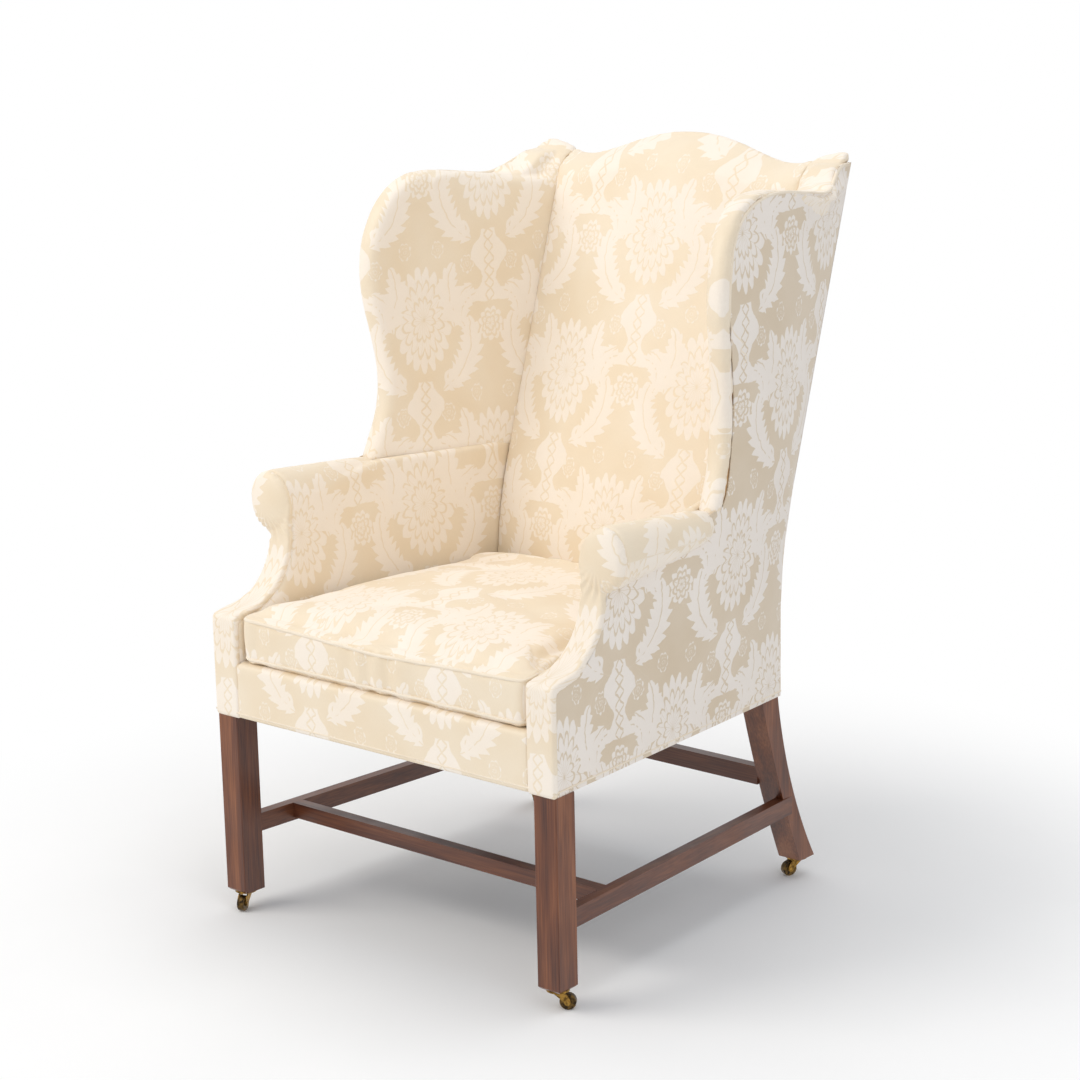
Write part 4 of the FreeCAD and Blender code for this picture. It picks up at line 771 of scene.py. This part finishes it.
def arms_and_wings():
    for side, name in SIDES:
        arm = soft_copy("inside_arm_" + name, "inside_arm_cover_" + name, VOXEL, 2, proud=ARM_PROUD)
        apply(arm, "SUBSURF", levels=1, render_levels=1)
        unwrap(arm, arm_panel(side, *ARM_CENTRE))
        finish(arm, silk, "root", ("inside_arm_" + name,))
        wing = soft_copy("inside_wing_" + name, "inside_wing_cover_" + name, VOXEL, 3, proud=WING_PROUD,
                         wad=lambda piece: top_wad(piece, NODES["outside_side_" + name], side))
        settle(wing)
        apply(wing, "SUBSURF", levels=1, render_levels=1)
        unwrap(wing, inner_wing(side, *WING_CENTRE))
        finish(wing, silk, "root", ("inside_wing_" + name,))
        facing = soft_copy("arm_facing_" + name, "arm_facing_cover_" + name, FINE_VOXEL, 2,
                           proud=FACING_PROUD)
        apply(facing, "SUBSURF", levels=1, render_levels=1)
        fill_scroll(facing, side)
        gathers(facing, side)
        unwrap(facing, front_panel(side * FACING_CENTRE[0], FACING_CENTRE[1]))
        finish(facing, silk, "root", ("arm_facing_" + name,))


def outer_covers():
    """The side covers with their welts, and the cover of the back."""
    for side, name in SIDES:
        cover = copy_of("outside_side_" + name, "outside_cover_" + name)
        unwrap(cover, side_panel(side, *SIDE_CENTRE))
        # The side covers take the damask copy with painted shade
        finish(cover, shaded_outer_silk, "root", ("outside_side_" + name,), angle=SHARP_EDGE)
        apply(cover, "WEIGHTED_NORMAL", keep_sharp=True)
        line = rim_line(cover, side, WING_MIDDLE, *WING_RIM, WELT_POINTS)
        inward = np.array([-side * WELT_INSET, 0.0, 0.0])
        welt = cord_along("wing_welt_" + name, line + inward, WELT_RADIUS)
        finish(welt, welt_silk, "root")
    cover = copy_of("outside_back", "outside_back_cover")
    unwrap(cover, back_panel(*BACK_CENTRE))
    # The back's cover also takes the damask copy with painted shade
    finish(cover, shaded_outer_silk, "root", ("outside_back",), angle=SHARP_EDGE)
    apply(cover, "WEIGHTED_NORMAL", keep_sharp=True)


def border_and_platform():
    border = soft_copy("front_border", "front_border_cover", BORDER_VOXEL, 2, proud=BORDER_PROUD)
    unwrap(border, front_panel(*BORDER_CENTRE))
    finish(border, silk, "root", ("front_border",))
    deck = soft_copy("seat_deck", "seat_platform", COARSE_VOXEL, 1)
    finish(deck, lining, "root", ("seat_deck",))


def places_between(here, there, steps):
    """Even places from one (x, y) towards another, without the last."""
    for step in range(steps):
        share = step / steps
        yield here[0] + (there[0] - here[0]) * share, here[1] + (there[1] - here[1]) * share


def hem():
    """The line of stitching just above the lower edge of the seat's cover."""
    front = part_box("front_border")[0][1]
    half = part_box("front_leg_right")[1][0]
    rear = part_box("rear_stretcher")[0][1]
    rear_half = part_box("outside_back")[1][0]
    corners = [(-rear_half, rear), (-half, front), (half, front), (rear_half, rear)]
    points = []
    for here, there in zip(corners, corners[1:]):
        points += [(x, y, HEM_HEIGHT) for x, y in places_between(here, there, HEM_STEPS)]
    points.append((*corners[-1], HEM_HEIGHT))
    finish(cord_along("base_hem", points, HEM_RADIUS), welt_silk, "root")


def creases(piece):
    """Feathers shift: shallow valleys on the top of the cushion and upright folds in its front."""
    places = places_of(piece)
    normals = normals_of(piece)
    x, y, z = places.T
    lift = np.zeros(len(places))
    for ax, ay, bx, by, width, depth in CUSHION_VALLEYS:
        run = np.array([bx - ax, by - ay])
        share = np.clip(((x - ax) * run[0] + (y - ay) * run[1]) / (run @ run), 0, 1)
        away = np.hypot(x - ax - share * run[0], y - ay - share * run[1])
        ends = np.sin(np.pi * np.clip(share, 0.02, 0.98)) ** 0.5
        lift -= depth * np.exp(-(away / width) ** 2) * ends
    top = np.clip((z - CUSHION_TOP) / CREASE_BLEND, 0, 1) * (normals[:, 2] > 0)
    front = np.clip((CUSHION_FRONT - y) / CREASE_BLEND, 0, 1) * np.clip(-normals[:, 1], 0, 1)
    wave = np.sin(x * 118 + 2.2 * np.sin(x * 23 + 0.6) + 9 * (z - 0.44))
    swell = 0.5 + 0.5 * np.sin(x * 17 + 1.1)
    lift = lift * top + FOLD_DEPTH * wave * swell * front
    set_places(piece, places + normals * lift[:, None])


def seat_cushion():
    piece = soft_copy("seat_cushion", "seat_cushion_cover", COARSE_VOXEL, 3, CUSHION_PRESSURE,
                      CUSHION_SWELL, CUSHION_START, CUSHION_PROUD)
    apply(piece, "SUBSURF", levels=1, render_levels=1)
    creases(piece)
    unwrap(piece, cushion_panel(*CUSHION_CENTRE))
    finish(piece, silk, "cushion", ("seat_cushion",))
    return piece


def cushion_welts(cushion):
    """Covered cords along the top and the bottom seams of the cushion."""
    low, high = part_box("seat_cushion")
    front, rear, half = low[1], high[1], high[0]
    narrow = half - CUSHION_NARROWING
    for label, height in (("top", CUSHION_SEAM_TOP), ("bottom", CUSHION_SEAM_LOW)):
        outline = [(-half, front), (half, front), (narrow, rear), (-narrow, rear)]
        points = []
        for number, here in enumerate(outline):
            there = outline[(number + 1) % len(outline)]
            dip = CUSHION_SEAM_DIP if (number == 0 and label == "top") else 0.0
            for x, y in places_between(here, there, SEAM_STEPS):
                points.append((x, y, height - dip * (1 - abs(x) / half)))
        line = np.array(laid_on(cushion, points, CUSHION_WELT_PROUD))
        for _ in range(SEAM_EASING):
            line = (np.roll(line, 1, 0) + 2 * line + np.roll(line, -1, 0)) / 4
        welt = cord_along("cushion_welt_" + label, line, CUSHION_WELT_RADIUS, True)
        finish(welt, welt_silk, "cushion")


# Finishes of the frame and the castors

def frame_finishes():
    for name, node in NODES.items():
        if name.startswith(("front_leg", "rear_leg")):
            chosen = mahogany_up
        # The bars take the darker mahogany, with painted shade
        elif name.startswith("side_stretcher"):
            chosen = mahogany_deep_shaded
        elif "stretcher" in name:
            chosen = mahogany_across_shaded
        elif "webbing" in name:
            chosen = webs
        elif name.startswith("castor_wheel"):
            chosen = wheel_metal
        elif name.startswith("castor"):
            chosen = brass
        elif name == "bottom_cloth":
            chosen = canvas
        else:
            chosen = beech
        node.data.materials.clear()
        node.data.materials.append(chosen)


# Stage, light and camera

def seen_directly(tree, path):
    """1 where the camera, a reflection or glass shows the background itself."""
    seen = path.outputs["Is Camera Ray"]
    for ray in ("Is Glossy Ray", "Is Transmission Ray"):
        seen = add(tree, "Math", seen, path.outputs[ray], operation="MAXIMUM")
    return seen


def stage():
    """A pale floor that keeps the chair's shadow and runs out into the white background."""
    bpy.ops.mesh.primitive_plane_add(size=FLOOR_SIZE, location=(0, FLOOR_SHIFT, 0))
    floor = bpy.context.view_layer.objects.active
    floor.name = "floor"
    made, tree = material("pale floor")
    place = add(tree, "TexCoord", out=3)
    grain = add(tree, "TexNoise", ("Vector", place), ("Scale", 3.0), ("Detail", 2.0))
    tones = ramp(tree, grain, [(0.3, "#fafafa"), (0.7, "#fdfdfd")])
    paint = add(tree, "BsdfDiffuse", tones)
    white = add(tree, "Emission", (1.0, 1.0, 1.0, 1.0), 1.0)
    from_chair = add(tree, "VectorMath", place, (0.0, -FLOOR_SHIFT, 0.0), operation="SUBTRACT")
    distance = add(tree, "VectorMath", from_chair, out=1, operation="LENGTH")
    far = add(tree, "MapRange", distance, *SHADOW_REACH, 0.0, 1.0, interpolation_type="SMOOTHSTEP")
    path = tree.nodes.new("ShaderNodeLightPath")
    seen = far
    for ray in ("Is Glossy Ray", "Is Transmission Ray"):
        seen = add(tree, "Math", seen, path.outputs[ray], operation="MAXIMUM")
    seen = add(tree, "Math", seen, seen_directly(tree, path), operation="MULTIPLY")
    surface(tree, add(tree, "MixShader", seen, paint, white))
    floor.data.materials.append(made)


def lamp(name, place, aim, size, watts, colour):
    data = bpy.data.lights.new(name, "AREA")
    data.shape = "RECTANGLE"
    data.size, data.size_y = size
    data.energy = watts
    data.color = linear(colour)[:3]
    holder = bpy.data.objects.new(name, data)
    bpy.context.scene.collection.objects.link(holder)
    holder.location = place
    holder.rotation_euler = (Vector(aim) - Vector(place)).to_track_quat("-Z", "Y").to_euler()


def light():
    lamp("key", (-1.9, -2.6, 2.9), (0, 0, 0.7), (2.4, 2.4), 62, "#fffaf2")
    lamp("fill", (3.0, -1.4, 1.7), (0, 0, 0.6), (2.0, 2.4), 14, "#f6f9ff")
    lamp("top", (0.2, 0.4, 3.4), (0, 0, 0.5), (2.6, 2.6), 20, "#ffffff")
    world = bpy.data.worlds.new("studio")
    bpy.context.scene.world = world
    world.use_nodes = True
    tree = world.node_tree
    tree.nodes.clear()
    soft = add(tree, "Background", (0.95, 0.97, 1.0, 1.0), WORLD_LIGHT)
    white = add(tree, "Background", (1.0, 1.0, 1.0, 1.0), 1.0)
    path = tree.nodes.new("ShaderNodeLightPath")
    mixed = add(tree, "MixShader", seen_directly(tree, path), soft, white)
    out = tree.nodes.new("ShaderNodeOutputWorld")
    tree.links.new(mixed, out.inputs["Surface"])
    bpy.context.scene.view_settings.view_transform = "Standard"


def camera():
    """The photograph's own viewpoint: 41 degrees round from the front, 13 above the horizon."""
    azimuth, elevation, roll = map(math.radians, (VIEW_TURN, VIEW_RISE, VIEW_ROLL))
    back = Vector((math.sin(azimuth) * math.cos(elevation), -math.cos(azimuth) * math.cos(elevation),
                   math.sin(elevation)))
    right = Vector((math.cos(azimuth), math.sin(azimuth), 0))
    up = back.cross(right)
    across = right * math.cos(roll) + up * math.sin(roll)
    upward = up * math.cos(roll) - right * math.sin(roll)
    data = bpy.data.cameras.new("camera")
    data.lens = LENS
    data.sensor_width = SENSOR_WIDTH
    holder = bpy.data.objects.new("camera", data)
    bpy.context.scene.collection.objects.link(holder)
    turn = Matrix((across, upward, back)).transposed().to_4x4()
    holder.matrix_world = Matrix.Translation(Vector(VIEW_TARGET) + back * VIEW_DISTANCE) @ turn
    bpy.context.scene.camera = holder


camera()
frame_finishes()
inside_back()
arms_and_wings()
outer_covers()
border_and_platform()
cushion_welts(seat_cushion())
hem()
stage()
light()
